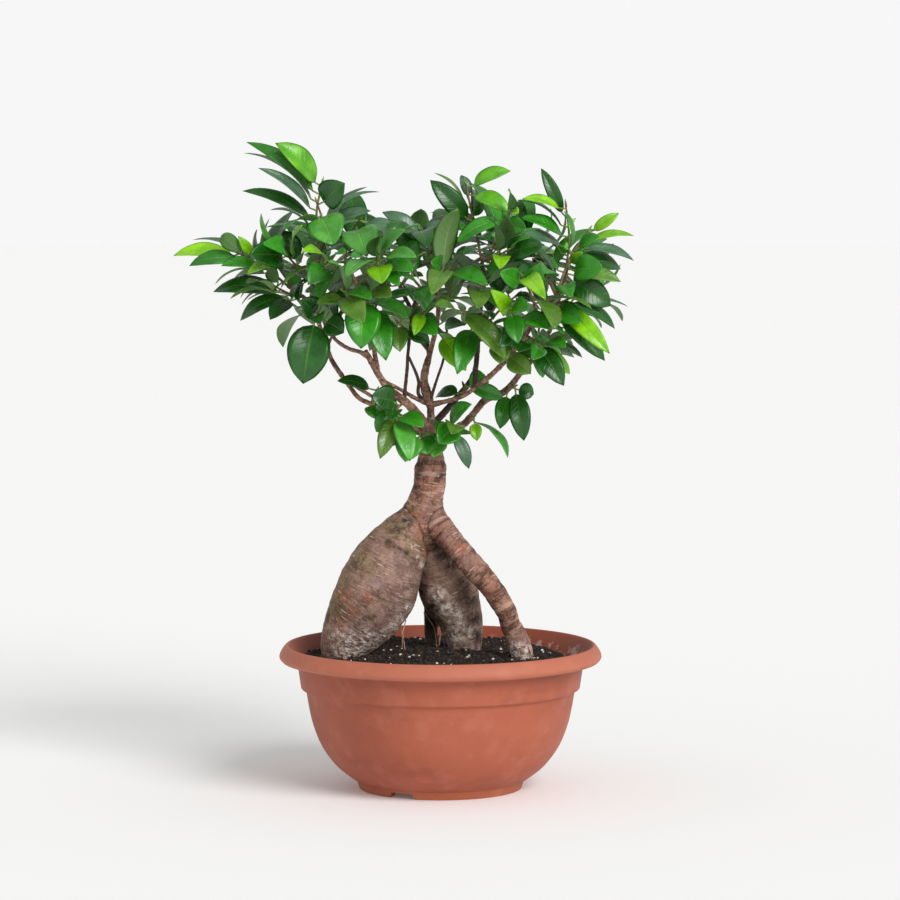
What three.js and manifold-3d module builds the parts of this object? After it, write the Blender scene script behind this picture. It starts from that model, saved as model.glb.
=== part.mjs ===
// Ficus ginseng bonsai in its bowl. Millimetres, +Z up, the photographed side looks towards -Y.
// Places are measured from the bowl's axis, with z = 0 on the ground. At the end the whole group is
// moved so that the origin lies on the ground under the middle of the whole plant.
import * as THREE from "three";
import { mergeVertices } from "three/addons/utils/BufferGeometryUtils.js";
import Module from "manifold-3d";

const wasm = await Module();
wasm.setup();

// Clearance between pieces that touch, along the bowl's sloping wall, and what counts as touching
const GAP = 0.3;
const SIDE_GAP = 0.45;
const SMALLEST_OVERLAP = 0.001;
// Points nearer than this are one point
const MERGE_DISTANCE = 1e-4;

// Where the photograph was taken from, measured from the bowl's axis: to the right, in front and up,
// then how far the view tilts down, and its focal length and middle in pixels
const VIEW_RIGHT = 8.3;
const VIEW_DISTANCE = 3470;
const VIEW_HEIGHT = 582.8;
const VIEW_TILT = THREE.MathUtils.degToRad(4.732);
const VIEW_FOCAL_PIXELS = 4009;
const VIEW_MIDDLE_PIXEL = 450;

// Driving dimensions of the bowl
const RIM_RADIUS = 140.4;
const BOWL_HEIGHT = 125.8;
const LIP_HEIGHT = 13.9;
const BAND_HEIGHT = 21.2;
const BAND_RADIUS = 124.7;
const BAND_TAPER = 3.1;
const STEP = 4.4;
const WALL = 4.2;
const FOOT_RADIUS = 71;
const FOOT_HEIGHT = 7;
const FOOT_RING_WIDTH = 7.5;
const FOOT_RECESS = 2;
const FOOT_STEP = 2;
const WALL_RISE = 1.2;
const LIP_UNDERCUT = 2.4;
const FLOOR_THICKNESS = 4.6;
const FLOOR_RADIUS = 72;
const FOOT_NOTCHES = 3;
const FOOT_NOTCH_WIDTH = 20;
const FOOT_NOTCH_HEIGHT = 5;
const FOOT_NOTCH_FLARE = 3;
const FOOT_NOTCH_DEPTH = 20;
const CUT_PAST = 1;
const FIRST_NOTCH_ANGLE = THREE.MathUtils.degToRad(-118);
const DRAIN_HOLES = 4;
const DRAIN_HOLE_RADIUS = 5;
const DRAIN_HOLE_CIRCLE = 38;
const DRAIN_HOLE_SIDES = 9;
const DRAIN_CUT_LENGTH = 18;
const BOWL_SEGMENTS = 32;
const BELLY_STEPS = 5;
const LIP_STEPS = 4;
// The inside leaves the floor at this step of the belly
const INSIDE_FROM_STEP = 2;
// The belly's outside from the foot up to the band: [radius, height]
const BELLY = [
  [79.8, 11.3],
  [92.4, 21.9],
  [103.8, 37.8],
  [110.6, 54.4],
  [114.2, 68.4],
];
// The rolled lip from its lower edge over the crest: [distance inside the rim, height over its lower edge]
const LIP = [
  [2.6, 0],
  [0, 3.4],
  [1.6, 8.6],
  [6, LIP_HEIGHT],
  [9.4, LIP_HEIGHT - 2.2],
];

// Driving dimensions of the soil: a low mound under the roots, lower at the right, higher at the back
const SOIL_LEVEL = 113.5;
const SOIL_MOUND = 6;
const SOIL_MOUND_SPREAD = 78;
const SOIL_MOUND_MIDDLE = [-10, 5];
const SOIL_LOW_SIDE = 5;
const SOIL_LOW_SIDE_FROM = 70;
const SOIL_LOW_SIDE_TO = 115;
const SOIL_BACK_RISE = 2.5;
const SOIL_BACK_RISE_FROM = 50;
const SOIL_BACK_RISE_TO = 110;
const SOIL_RING_RADIUS = 66;

// The tubers' low ridges: their height as a share of the radius, how many go round, and how they
// turn from one end to the other. Limbs with this many sides or more are tubers.
const RIDGES = [
  { height: 0.035, around: 3, along: 6, start: 0 },
  { height: 0.022, around: 5, along: -11, start: 1 },
];
const TUBER_SIDES = 9;

// Driving dimensions of the leaves and their stems
const STEM_BASE_RADIUS = 1.6;
const STEM_TIP_RADIUS = 1.1;
const STEM_SIDES = 3;
const PETIOLE_LENGTH = 7;
const PETIOLE_RADIUS = 0.8;
const PETIOLE_ROOT_RADIUS = 0.5;
// How much a petiole still points straight out from its stem, beside pointing at the leaf's tip
const PETIOLE_OUTWARDS = 0.5;
const LEAF_LENGTH = 49;
const LEAF_WIDTH_RATIO = 0.46;
const LEAF_THICKNESS = 0.8;
const LEAF_FOLD = 0.2;
const LEAF_ARCH = 0.14;
// Along the blade from its base to its tip: [place, share of the full width]
const LEAF_OUTLINE = [
  [0.2, 0.78],
  [0.45, 1],
  [0.8, 0.62],
];
const RULE_LEAF_OUTLINE = [
  [0.28, 0.92],
  [0.68, 0.84],
];
// A leaf that would meet another piece is tried again, turned and smaller, or moved and narrower
const RULE_TURNS = [0, 40, -40, 80, -80, 120, -120, 160];
const RULE_SCALES = [1, 0.86, 0.72];
const PLACED_SHIFTS = [0, -5, 5, -10, 10, -15, 15, -20];
const PLACED_WIDTHS = [1, 0.85, 0.7];
const TRIES = RULE_TURNS.length * RULE_SCALES.length;
// Along a stem, the shares of its length at which the first and the last leaf grow
const FIRST_LEAF = 0.34;
const LAST_LEAF = 0.97;
// Each leaf by rule leaves the stem this far round from the one before it
const LEAF_TURN = THREE.MathUtils.degToRad(137.5);
const SEED = 1207;

// The rule of the leaves that have no place of their own: how far they turn, open, droop and lean
const TURN_SPREAD = 0.9;
const OPEN_ANGLE = 1.15;
const TIP_ANGLE = 0.75;
const ANGLE_SPREAD = 0.25;
const LEAST_DROOP = 0.12;
const DROOP_SPREAD = 0.3;
const SHORTEST_LEAF = 0.82;
const LENGTH_SPREAD = 0.32;
const WIDTH_SPREAD = 0.08;
const FACE_LEAN = 0.35;
const CROWN_MIDDLE_X = -30;
const CROWN_REACH = 260;
// A stem whose direction has less than this across, squared, counts as upright
const UPRIGHT = 0.01;

// Which way a leaf's upper face looks
const UP = [0, -0.15, 1];
const HALF = [0, -0.75, 0.8];
const FRONT = [0, -1, 0.25];
// A leaf with no place of its own, set by the rule of the stem
const RULE = null;

// Every root and branch, from where it leaves the trunk. Each place is [across, down, behind, radius]:
// the first two are pixels of the photograph, the last two millimetres, behind the bowl's axis.
const LIMBS = {
  trunk: {
    sides: 10,
    line: [
      [431, 440, 0, 8.6],
      [431, 457, 0, 10.8],
      [430.5, 470, 0, 13.6],
      [430, 484, 0, 13.8],
      [426, 499, 0, 14.6],
      [423, 513, 1, 17.8],
      [422, 532, 5, 19],
    ],
  },
  left_tuber: {
    sides: 11,
    line: [
      [418, 513, 0, 11],
      [408, 528, -2, 17],
      [394, 554, -4, 28],
      [386, 569, -5, 32],
      [378, 588, -5, 35],
      [367.5, 607, -4, 33],
      [356, 624, -2, 27.5],
      [346, 640, 0, 22],
      [340, 655, 2, 16],
      [336, 680, 4, 8],
    ],
  },
  middle_tuber: {
    sides: 9,
    line: [
      [432, 520, 6, 13],
      [434, 545, 14, 18],
      [440, 568, 20, 22.5],
      [448, 590, 24, 26],
      [459, 618, 26, 20.2],
      [464, 636, 27, 16.5],
      [471, 680, 26, 5],
    ],
  },
  right_root: {
    sides: 8,
    line: [
      [430, 512, -2, 11],
      [440, 528, -8, 11.5],
      [453, 544, -14, 10.8],
      [471, 564, -18, 10.4],
      [489, 585, -20, 9.8],
      [505, 609, -20, 9],
      [510, 624, -18, 8.8],
      [516, 637, -16, 9.8],
      [521, 650, -14, 9.8],
      [525, 685, -10, 5],
    ],
  },
  back_root: {
    sides: 6,
    line: [
      [428, 540, 18, 10],
      [428, 570, 38, 9],
      [431, 600, 46, 6.5],
      [431, 630, 50, 6],
      [431, 678, 52, 4],
    ],
  },
  rear_root: {
    sides: 8,
    line: [
      [415, 530, 18, 14],
      [391, 563, 44, 13],
      [374, 600, 62, 11.5],
      [367, 635, 68, 10],
      [372, 672, 62, 5],
    ],
  },
  leader: {
    sides: 5,
    line: [
      [431, 448, 0, 7.6],
      [431.5, 433, 0, 4],
      [432, 424, 0, 3.2],
      [431, 411, 0, 2.8],
      [429, 402, 0, 3.8],
      [425.5, 391, 2, 3.9],
      [424, 380, 4, 3.3],
      [426, 367, 7, 3.3],
      [430, 353, 11, 2.3],
      [438, 315, 14, 2],
      [436, 285, 12, 1.8],
      [430, 262, 8, 1.7],
    ],
  },
  right_upper: {
    sides: 4,
    line: [
      [430, 405, 0, 2.8],
      [443, 402, -8, 2.1],
      [463, 396, -16, 1.9],
      [476, 387, -20, 1.9],
      [490, 376, -25, 2.3],
      [506, 360, -28, 2.2],
      [522, 340, -30, 2],
      [538, 318, -28, 1.9],
      [556, 296, -24, 1.7],
    ],
  },
  right_lower: {
    sides: 5,
    line: [
      [433, 441, 2, 4.8],
      [450, 434, 10, 3.8],
      [464, 424, 17, 3.2],
      [474, 413, 22, 2.9],
      [484, 401, 28, 3.2],
      [493, 396, 31, 3.3],
      [504, 392, 34, 3],
      [520, 374, 41, 2.4],
      [538, 352, 48, 2.1],
      [552, 325, 52, 1.9],
      [560, 295, 50, 1.7],
    ],
  },
  left_upper: {
    sides: 5,
    line: [
      [430, 430, -1, 4.2],
      [408, 404, -12, 3.7],
      [400, 398, -14, 3.6],
      [388, 388, -18, 3.1],
      [380, 377, -20, 2.9],
      [371, 361, -24, 2.7],
      [365, 351, -27, 2.2],
    ],
  },
  left_upper_tip: {
    sides: 4,
    line: [
      [369, 357, -25, 2.2],
      [360, 352, -27, 1.8],
      [350, 349, -28, 1.7],
      [337, 341, -30, 1.6],
      [325, 325, -30, 1.6],
    ],
  },
  left_riser: {
    sides: 4,
    line: [
      [377, 370, -22, 2.4],
      [375, 355, -21, 2],
      [372, 338, -20, 1.9],
      [368, 310, -16, 1.9],
      [357, 285, -10, 1.8],
      [345, 262, -6, 1.7],
    ],
  },
  left_lower: {
    sides: 4,
    line: [
      [429, 436, 4, 4.6],
      [414, 424, 12, 3.3],
      [398, 416, 17, 2.7],
      [384, 411, 22, 2.4],
      [371, 404, 26, 2.1],
      [359, 398, 29, 2],
      [348, 384, 32, 2],
      [334, 364, 34, 2.1],
      [327, 349, 34, 2],
      [319, 324, 30, 1.9],
      [312, 300, 24, 1.8],
      [314, 278, 14, 1.7],
      [318, 262, 8, 1.7],
    ],
  },
  left_arm: {
    sides: 4,
    line: [
      [315, 308, 26, 1.9],
      [302, 296, 24, 1.8],
      [288, 286, 20, 1.6],
    ],
  },
  left_strand: {
    sides: 4,
    line: [
      [390, 413, 20, 1.7],
      [381, 405, 23, 1.6],
      [371, 396, 26, 1.6],
      [358, 388, 29, 1.6],
      [345, 379, 32.5, 1.6],
    ],
  },
  middle_riser: {
    sides: 4,
    line: [
      [404, 402, -13, 1.9],
      [405, 390, -9, 1.6],
      [407, 370, -6, 1.5],
      [408, 353, -4, 1.4],
      [411, 325, -2, 1.6],
      [414, 305, -4, 1.6],
      [423, 290, -6, 1.5],
    ],
  },
  middle_strand: {
    sides: 4,
    line: [
      [425, 402, 1, 1.6],
      [418.5, 394, -1, 1.6],
      [418.5, 381, -2, 1.5],
      [409, 357, -4, 1.1],
    ],
  },
  cross_strand: {
    sides: 4,
    line: [
      [426, 403, 1, 1.8],
      [413, 397, -4, 1.8],
      [404, 391.5, -8, 1.6],
      [383, 380.5, -19.5, 1.5],
    ],
  },
  thin_riser: {
    sides: 4,
    line: [
      [431, 398, -1, 1.4],
      [436, 382, -4, 1.2],
      [444, 357, -8, 1.1],
      [447, 330, -12, 1.1],
    ],
  },
  right_riser: {
    sides: 4,
    line: [
      [475, 387.5, -20.5, 2.2],
      [475.5, 372, -16, 2.2],
      [477.5, 352, -11, 2],
      [480, 314, 0, 1.8],
      [484, 285, 6, 1.8],
      [482, 262, 9, 1.7],
    ],
  },
  back_left: {
    sides: 4,
    line: [
      [431, 425, 4, 3.4],
      [430, 400, 36, 3],
      [425, 378, 58, 2.4],
      [429, 352, 78, 2.2],
      [415, 318, 94, 2],
      [400, 287, 104, 1.8],
    ],
  },
  back_right: {
    sides: 4,
    line: [
      [433, 425, 3, 3.2],
      [454, 401, 36, 2.8],
      [474, 374, 60, 2.4],
      [479, 335, 80, 2.1],
      [496, 298, 95, 1.8],
    ],
  },
};

// Every leafy twig: its stem's places [across, down, behind], then its leaves from base to tip. A leaf
// is RULE or its tip's [across, down, behind, width, face]; a number alone is that many leaves by rule.
const TWIGS = [
  {
    name: "upper_left",
    stem: [[318, 262, 8], [317, 236, 4], [317, 208, 0], [322, 184, -2]],
    leaves: [
      RULE,
      [270, 210, -12, 16, UP],
      [242, 191, 20, 17, HALF],
      [258, 168, -20, 13, HALF],
      [243, 153, 12, 14, UP],
      [246, 142, -4, 16, HALF],
      [275, 143, -16, 25, HALF],
    ],
  },
  {
    name: "upper_left_right_side",
    stem: [[318, 262, 8], [324, 236, -10], [322, 216, -22], [317, 203, -28]],
    leaves: [
      RULE,
      RULE,
      [371, 211, -30, 16, HALF],
      [380, 192, -10, 14, UP],
      [334, 246, -56, 34, FRONT],
      [345, 183, -46, 26, FRONT],
    ],
  },
  {
    name: "upper_middle_left",
    stem: [[345, 262, -6], [348, 240, -12], [360, 219, -24]],
    leaves: [
      RULE,
      RULE,
      [318, 243, -50, 20, HALF],
      [367, 257, -62, 34, FRONT],
      [400, 236, -30, 17, HALF],
    ],
  },
  {
    name: "left_arm",
    stem: [[288, 286, 20], [268, 270, 16], [250, 259, 12], [238, 253, 10]],
    leaves: [
      RULE,
      [221, 266, -16, 17, HALF],
      [192, 240, 22, 17, UP],
      [238, 236, 0, 9, FRONT],
      [189, 266, -2, 18, HALF],
      [173, 256, 10, 17, HALF],
    ],
  },
  {
    name: "left_middle",
    stem: [[314, 281, 15], [300, 268, -2], [289, 258, -18], [284, 250, -28]],
    leaves: [
      RULE,
      [283, 230, 0, 18, HALF],
      [246, 275, -62, 16, HALF],
      [303, 225, -44, 16, HALF],
      [248, 256, -52, 28, FRONT],
      [262, 244, -66, 19, FRONT],
    ],
  },
  {
    name: "left_low",
    stem: [[302, 297, 24], [290, 294, 8], [276, 287, -6]],
    leaves: [
      [270, 320, -8, 18, HALF],
      [240, 321, 4, 18, HALF],
      [213, 292, 16, 22, HALF],
      [230, 299, -24, 14, UP],
      [246, 284, -40, 17, UP],
    ],
  },
  {
    name: "left_hanging",
    stem: [[325, 325, -30], [321, 318, -38], [315, 317, -44]],
    leaves: [
      RULE,
      [344, 333, -52, 22, FRONT],
      [300, 300, -60, 20, FRONT],
      [303, 384, -52, 37, FRONT],
    ],
  },
  {
    name: "front_left",
    stem: [[368, 310, -16], [367, 299, -40], [363, 292, -62]],
    leaves: [
      RULE,
      RULE,
      [361, 349, -72, 31, FRONT],
      [392, 297, -78, 20, HALF],
    ],
  },
  {
    name: "top_middle",
    stem: [[430, 262, 8], [427, 245, 2], [420, 230, -4]],
    leaves: [
      RULE,
      RULE,
      [382, 212, 6, 18, HALF],
      [440, 220, 8, 13, UP],
      [391, 230, -26, 18, HALF],
      [428, 249, -40, 22, FRONT],
    ],
  },
  {
    name: "middle_left",
    stem: [[423, 290, -6], [408, 274, -22], [397, 266, -38]],
    leaves: [
      RULE,
      RULE,
      [427, 252, -34, 12, UP],
      [414, 262, -50, 14, UP],
      [384, 258, -46, 15, UP],
    ],
  },
  {
    name: "peak",
    stem: [[482, 262, 9], [476, 232, 8], [470, 205, 6], [466, 185, 4]],
    leaves: [
      [489, 241, -16, 16, HALF],
      [440, 229, -10, 15, HALF],
      [430, 180, 0, 19, FRONT],
      [450, 206, 24, 16, HALF],
      [434, 173, 8, 11, UP],
      [461, 175, 16, 12, UP],
      [510, 213, -12, 19, HALF],
      [511, 171, 2, 17, HALF],
    ],
  },
  {
    name: "peak_right",
    stem: [[482, 262, 9], [497, 242, 2], [504, 222, -6], [512, 208, -12]],
    leaves: [
      RULE,
      RULE,
      [527, 229, -34, 20, FRONT],
      [456, 244, -28, 17, HALF],
      [519, 213, -22, 9, FRONT],
    ],
  },
  {
    name: "right_top",
    stem: [[560, 295, 50], [567, 262, 42], [569, 232, 32], [566, 206, 26]],
    leaves: [
      RULE,
      RULE,
      [505, 240, 2, 18, HALF],
      [520, 218, 16, 17, HALF],
      [568, 222, 4, 16, FRONT],
      [541, 168, 30, 12, FRONT],
      [522, 199, 18, 12, HALF],
    ],
  },
  {
    name: "right_arm",
    stem: [[556, 296, -24], [566, 268, -14], [576, 247, -6], [588, 231, 0]],
    leaves: [
      RULE,
      [583, 252, -30, 9, FRONT],
      [604, 286, -20, 18, HALF],
      [600, 237, -24, 17, HALF],
      [634, 261, 6, 12, HALF],
      [634, 236, 4, 9, HALF],
      [619, 213, -4, 10, FRONT],
    ],
  },
  {
    name: "right_side",
    stem: [[556, 296, -24], [564, 282, -36], [568, 268, -46]],
    leaves: [
      RULE,
      [571, 298, -78, 18, FRONT],
      [611, 306, -42, 24, FRONT],
      [621, 282, -50, 17, HALF],
      [604, 268, -68, 24, FRONT],
    ],
  },
  {
    name: "right_low",
    stem: [[540, 316, -28], [552, 306, -40], [566, 300, -50]],
    leaves: [
      RULE,
      [583, 323, -74, 22, FRONT],
      [605, 361, -58, 19, FRONT],
      [610, 354, -76, 17, FRONT],
      [615, 329, -34, 16, HALF],
    ],
  },
  {
    name: "lower_right_hanging",
    stem: [[505, 392, 34], [510, 388, 22], [515, 386, 12]],
    leaves: [
      [500, 429, 12, 16, FRONT],
      [534, 394, 22, 15, FRONT],
      [524, 441, 2, 19, FRONT],
    ],
  },
  {
    name: "right_upper_branch",
    stem: [[506, 361, -28], [503, 349, -38], [500, 340, -48]],
    leaves: [
      [531, 374, -50, 20, FRONT],
      [480, 322, -58, 18, HALF],
      [500, 364, -66, 19, FRONT],
    ],
  },
  {
    name: "right_lower_spray",
    stem: [[526, 335, -30], [534, 340, -42], [541, 344, -52]],
    leaves: [
      [518, 352, -52, 18, HALF],
      [543, 378, -40, 13, HALF],
      [564, 386, -62, 20, FRONT],
      [570, 374, -52, 12, FRONT],
      [566, 348, -74, 16, HALF],
    ],
  },
  {
    name: "low_left",
    stem: [[404, 402, -13], [398, 408, -24], [394, 415, -34]],
    leaves: [
      [371, 396, -40, 25, FRONT],
      [376, 432, -30, 18, FRONT],
      [380, 459, -42, 17, FRONT],
      [424, 428, -56, 18, HALF],
    ],
  },
  {
    name: "trunk_top_left",
    stem: [[430, 441, -4], [419, 432, -20], [413, 428, -30]],
    leaves: [
      [398, 424, -40, 16, HALF],
      [428, 455, -38, 20, FRONT],
      [405, 462, -48, 25, FRONT],
    ],
  },
  {
    name: "trunk_top_right",
    stem: [[433, 441, -3], [448, 430, -18], [458, 424, -28]],
    leaves: [
      [433, 458, -40, 17, FRONT],
      [472, 404, -32, 20, HALF],
      [469, 469, -26, 13, HALF],
      [438, 444, -52, 24, FRONT],
    ],
  },
  {
    name: "low_right",
    stem: [[469, 418, 20], [471, 416, 8], [474, 416, 0]],
    leaves: [
      RULE,
      [477, 441, -8, 11, FRONT],
    ],
  },
  {
    name: "left_lower_branch",
    stem: [[371, 404, 26], [374, 396, 16], [377, 390, 8]],
    leaves: [
      [378, 420, 4, 20, HALF],
      [398, 412, -6, 18, FRONT],
      [337, 381, 2, 15, HALF],
    ],
  },
  {
    name: "along_the_right_branch",
    stem: [[463, 397, -16], [464, 390, -6], [463, 384, 6]],
    leaves: [
      [436, 397, 12, 17, HALF],
      [486, 376, 18, 18, FRONT],
      [503, 398, 10, 20, FRONT],
    ],
  },
  {
    name: "centre_bright",
    stem: [[437, 322, 14], [437, 328, 0], [438, 332, -12]],
    leaves: [
      RULE,
      [412, 330, -34, 13, HALF],
      [466, 371, -26, 21, FRONT],
    ],
  },
  {
    name: "centre",
    stem: [[411, 325, -2], [418, 314, -18], [424, 308, -30]],
    leaves: [
      RULE,
      [437, 336, -52, 22, FRONT],
      [452, 300, -50, 17, HALF],
      [434, 286, -56, 20, FRONT],
      [414, 336, -50, 12, FRONT],
    ],
  },
  {
    name: "centre_left",
    stem: [[409, 335, -3], [402, 326, -14], [396, 320, -24]],
    leaves: [
      [378, 338, -22, 18, HALF],
      [430, 343, -38, 20, FRONT],
      [400, 306, -50, 20, HALF],
      [400, 352, -44, 18, FRONT],
    ],
  },
  {
    name: "front_middle_left",
    stem: [[357, 285, -10], [370, 272, -40], [376, 264, -64], [378, 260, -80]],
    leaves: [
      RULE,
      RULE,
      RULE,
      [350, 258, -92, 15, HALF],
      [414, 272, -90, 22, HALF],
      [382, 284, -108, 23, FRONT],
    ],
  },
  {
    name: "front_middle",
    stem: [[436, 285, 12], [442, 274, -20], [448, 268, -52]],
    leaves: [
      RULE,
      RULE,
      [430, 262, -66, 20, FRONT],
      [488, 286, -70, 20, HALF],
      [432, 296, -90, 22, HALF],
    ],
  },
  {
    name: "front_centre_right",
    stem: [[483, 290, 5], [482, 284, -24], [480, 280, -50]],
    leaves: [
      RULE,
      [478, 310, -84, 24, FRONT],
      [508, 262, -60, 16, HALF],
    ],
  },
  {
    name: "front_right_low",
    stem: [[522, 340, -30], [514, 318, -54], [508, 304, -76]],
    leaves: [
      RULE,
      RULE,
      [550, 330, -92, 21, HALF],
      [490, 289, -104, 15, FRONT],
      [518, 344, -92, 18, FRONT],
      [530, 310, -108, 17, FRONT],
    ],
  },
  {
    name: "front_right",
    stem: [[538, 318, -28], [530, 292, -54], [522, 276, -74]],
    leaves: [
      RULE,
      RULE,
      [541, 262, -88, 19, FRONT],
      [499, 272, -92, 19, FRONT],
      [546, 300, -128, 18, FRONT],
    ],
  },
  {
    name: "front_right_high",
    stem: [[482, 262, 9], [498, 256, -26], [508, 250, -50]],
    leaves: [
      RULE,
      RULE,
      [545, 245, -62, 22, FRONT],
      [500, 270, -78, 16, FRONT],
      [530, 238, -70, 15, HALF],
    ],
  },
  {
    name: "front_upper_left",
    stem: [[345, 262, -6], [334, 262, -36], [326, 262, -62]],
    leaves: [
      RULE,
      RULE,
      [302, 252, -76, 17, HALF],
      [308, 285, -84, 22, FRONT],
      [346, 254, -88, 15, HALF],
    ],
  },
  {
    name: "front_low_left",
    stem: [[368, 310, -16], [352, 300, -46], [342, 290, -70]],
    leaves: [
      RULE,
      [316, 304, -60, 16, HALF],
      [328, 262, -104, 17, HALF],
      [372, 300, -100, 18, HALF],
    ],
  },
  {
    name: "front_centre_low",
    stem: [[479, 331, -5], [468, 318, -36], [460, 308, -58]],
    leaves: [
      RULE,
      [445, 330, -56, 15, HALF],
      [434, 306, -76, 17, HALF],
      [506, 360, -60, 21, HALF],
    ],
  },
  {
    name: "back_left_high",
    stem: [[400, 287, 104], [386, 262, 118], [372, 246, 128]],
    leaves: 6,
  },
  {
    name: "back_middle_high",
    stem: [[400, 287, 104], [416, 262, 110], [430, 246, 112]],
    leaves: 6,
  },
  {
    name: "back_middle",
    stem: [[411, 309, 97], [440, 286, 122], [452, 274, 136]],
    leaves: 6,
  },
  {
    name: "back_left_low",
    stem: [[429, 352, 78], [404, 322, 98], [388, 306, 116]],
    leaves: 5,
  },
  {
    name: "back_right_high",
    stem: [[496, 298, 95], [492, 262, 106], [488, 238, 112]],
    leaves: 6,
  },
  {
    name: "back_right",
    stem: [[496, 298, 95], [522, 272, 110], [540, 256, 118]],
    leaves: 6,
  },
  {
    name: "back_right_low",
    stem: [[481, 331, 82], [502, 308, 104], [518, 294, 124]],
    leaves: 5,
  },
  {
    name: "far_right",
    stem: [[552, 325, 52], [570, 304, 76], [580, 290, 94]],
    leaves: 6,
  },
  {
    name: "right_behind",
    stem: [[560, 295, 50], [544, 262, 66], [536, 242, 76]],
    leaves: 6,
  },
  {
    name: "far_left_low",
    stem: [[319, 324, 30], [306, 310, 60], [296, 298, 84]],
    leaves: 6,
  },
  {
    name: "far_left_high",
    stem: [[312, 300, 24], [324, 274, 56], [334, 256, 80]],
    leaves: 6,
  },
  {
    name: "top_behind",
    stem: [[430, 262, 8], [444, 252, 34], [452, 246, 54]],
    leaves: 5,
  },
  {
    name: "upper_left_behind",
    stem: [[345, 262, -6], [358, 252, 22], [368, 244, 44]],
    leaves: 6,
  },
  {
    name: "inner_left",
    stem: [[370, 322, -18], [378, 300, 4], [384, 282, 22]],
    leaves: 4,
  },
  {
    name: "inner_middle",
    stem: [[438, 310, 14], [450, 290, 24], [456, 272, 30]],
    leaves: 4,
  },
  {
    name: "inner_right",
    stem: [[479, 328, -4], [496, 306, 12], [506, 288, 22]],
    leaves: 5,
  },
  {
    name: "inner_right_side",
    stem: [[538, 350, 48], [540, 322, 26], [546, 304, 12]],
    leaves: 5,
  },
  {
    name: "inner_left_side",
    stem: [[327, 348, 34], [338, 322, 28], [346, 304, 22]],
    leaves: 5,
  },
  {
    name: "upper_right_front",
    stem: [[556, 296, -24], [546, 274, -34], [540, 258, -40]],
    leaves: 4,
  },
  {
    name: "middle_right_behind",
    stem: [[484, 285, 6], [506, 262, 22], [520, 250, 32]],
    leaves: 5,
  },
];

// The place that the photograph shows at a pixel, at a given depth behind the bowl's axis
function placeOf([across, down, behind]) {
  const right = (across - VIEW_MIDDLE_PIXEL) / VIEW_FOCAL_PIXELS;
  const up = (VIEW_MIDDLE_PIXEL - down) / VIEW_FOCAL_PIXELS;
  const forwards = Math.cos(VIEW_TILT) + up * Math.sin(VIEW_TILT);
  const upwards = up * Math.cos(VIEW_TILT) - Math.sin(VIEW_TILT);
  const reach = (VIEW_DISTANCE + behind) / forwards;
  return new THREE.Vector3(VIEW_RIGHT + reach * right, behind, VIEW_HEIGHT + reach * upwards);
}

// Solids

function solidOf(geometry) {
  const bare = geometry.clone();
  bare.deleteAttribute("normal");
  bare.deleteAttribute("uv");
  const merged = mergeVertices(bare, MERGE_DISTANCE);
  return new wasm.Manifold(
    new wasm.Mesh({
      numProp: 3,
      vertProperties: merged.attributes.position.array,
      triVerts: new Uint32Array(merged.index.array),
    }),
  );
}

function geometryOf(solid) {
  const made = solid.getMesh();
  const geometry = new THREE.BufferGeometry();
  geometry.setAttribute("position", new THREE.BufferAttribute(new Float32Array(made.vertProperties), 3));
  geometry.setIndex(new THREE.BufferAttribute(new Uint32Array(made.triVerts), 1));
  geometry.computeVertexNormals();
  return geometry;
}

function largestBody(solid) {
  const bodies = solid.decompose();
  return bodies.reduce((best, body) => (body.volume() > best.volume() ? body : best));
}

// A closed skin over rings of points that all have the same count. A ring of one point is a tip.
function skinOf(rings) {
  const points = rings.flat();
  const geometry = new THREE.BufferGeometry().setFromPoints(points);
  const starts = rings.map((_, i) => rings.slice(0, i).reduce((sum, ring) => sum + ring.length, 0));
  const faces = [];
  const first = rings[0].length;
  for (let i = 1; i + 1 < first; i += 1) {
    faces.push(0, i + 1, i);
  }
  for (let r = 0; r + 1 < rings.length; r += 1) {
    const here = starts[r];
    const next = starts[r + 1];
    const count = rings[r].length;
    for (let i = 0; i < count; i += 1) {
      const j = (i + 1) % count;
      if (rings[r + 1].length === 1) {
        faces.push(here + i, here + j, next);
      } else {
        faces.push(here + i, here + j, next + j, here + i, next + j, next + i);
      }
    }
  }
  const last = starts[rings.length - 1];
  for (let i = 1; i + 1 < rings[rings.length - 1].length; i += 1) {
    faces.push(last, last + i, last + i + 1);
  }
  geometry.setIndex(faces);
  return geometry;
}

// A round limb along a list of [across, down, behind, radius]. relief lifts the skin by angle and place.
function limbSolid(line, sides, grow, relief) {
  const curve = new THREE.CatmullRomCurve3(line.map(placeOf));
  const sections = line.length - 1;
  const frames = curve.computeFrenetFrames(sections, false);
  const rings = [];
  for (let i = 0; i <= sections; i += 1) {
    const place = curve.getUtoTmapping(i / sections) * sections;
    const before = Math.min(Math.floor(place), sections - 1);
    const radius = THREE.MathUtils.lerp(line[before][3], line[before + 1][3], place - before);
    const centre = curve.getPointAt(i / sections);
    const endShift = i === 0 ? -grow : i === sections ? grow : 0;
    centre.addScaledVector(frames.tangents[i], endShift);
    const ring = [];
    for (let side = 0; side < sides; side += 1) {
      const angle = (side / sides) * Math.PI * 2;
      const out = frames.normals[i].clone().multiplyScalar(Math.cos(angle));
      out.addScaledVector(frames.binormals[i], Math.sin(angle));
      const lift = relief ? relief(angle, i / sections) : 1;
      ring.push(centre.clone().addScaledVector(out, radius * lift + grow));
    }
    rings.push(ring);
  }
  return solidOf(skinOf(rings));
}

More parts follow.
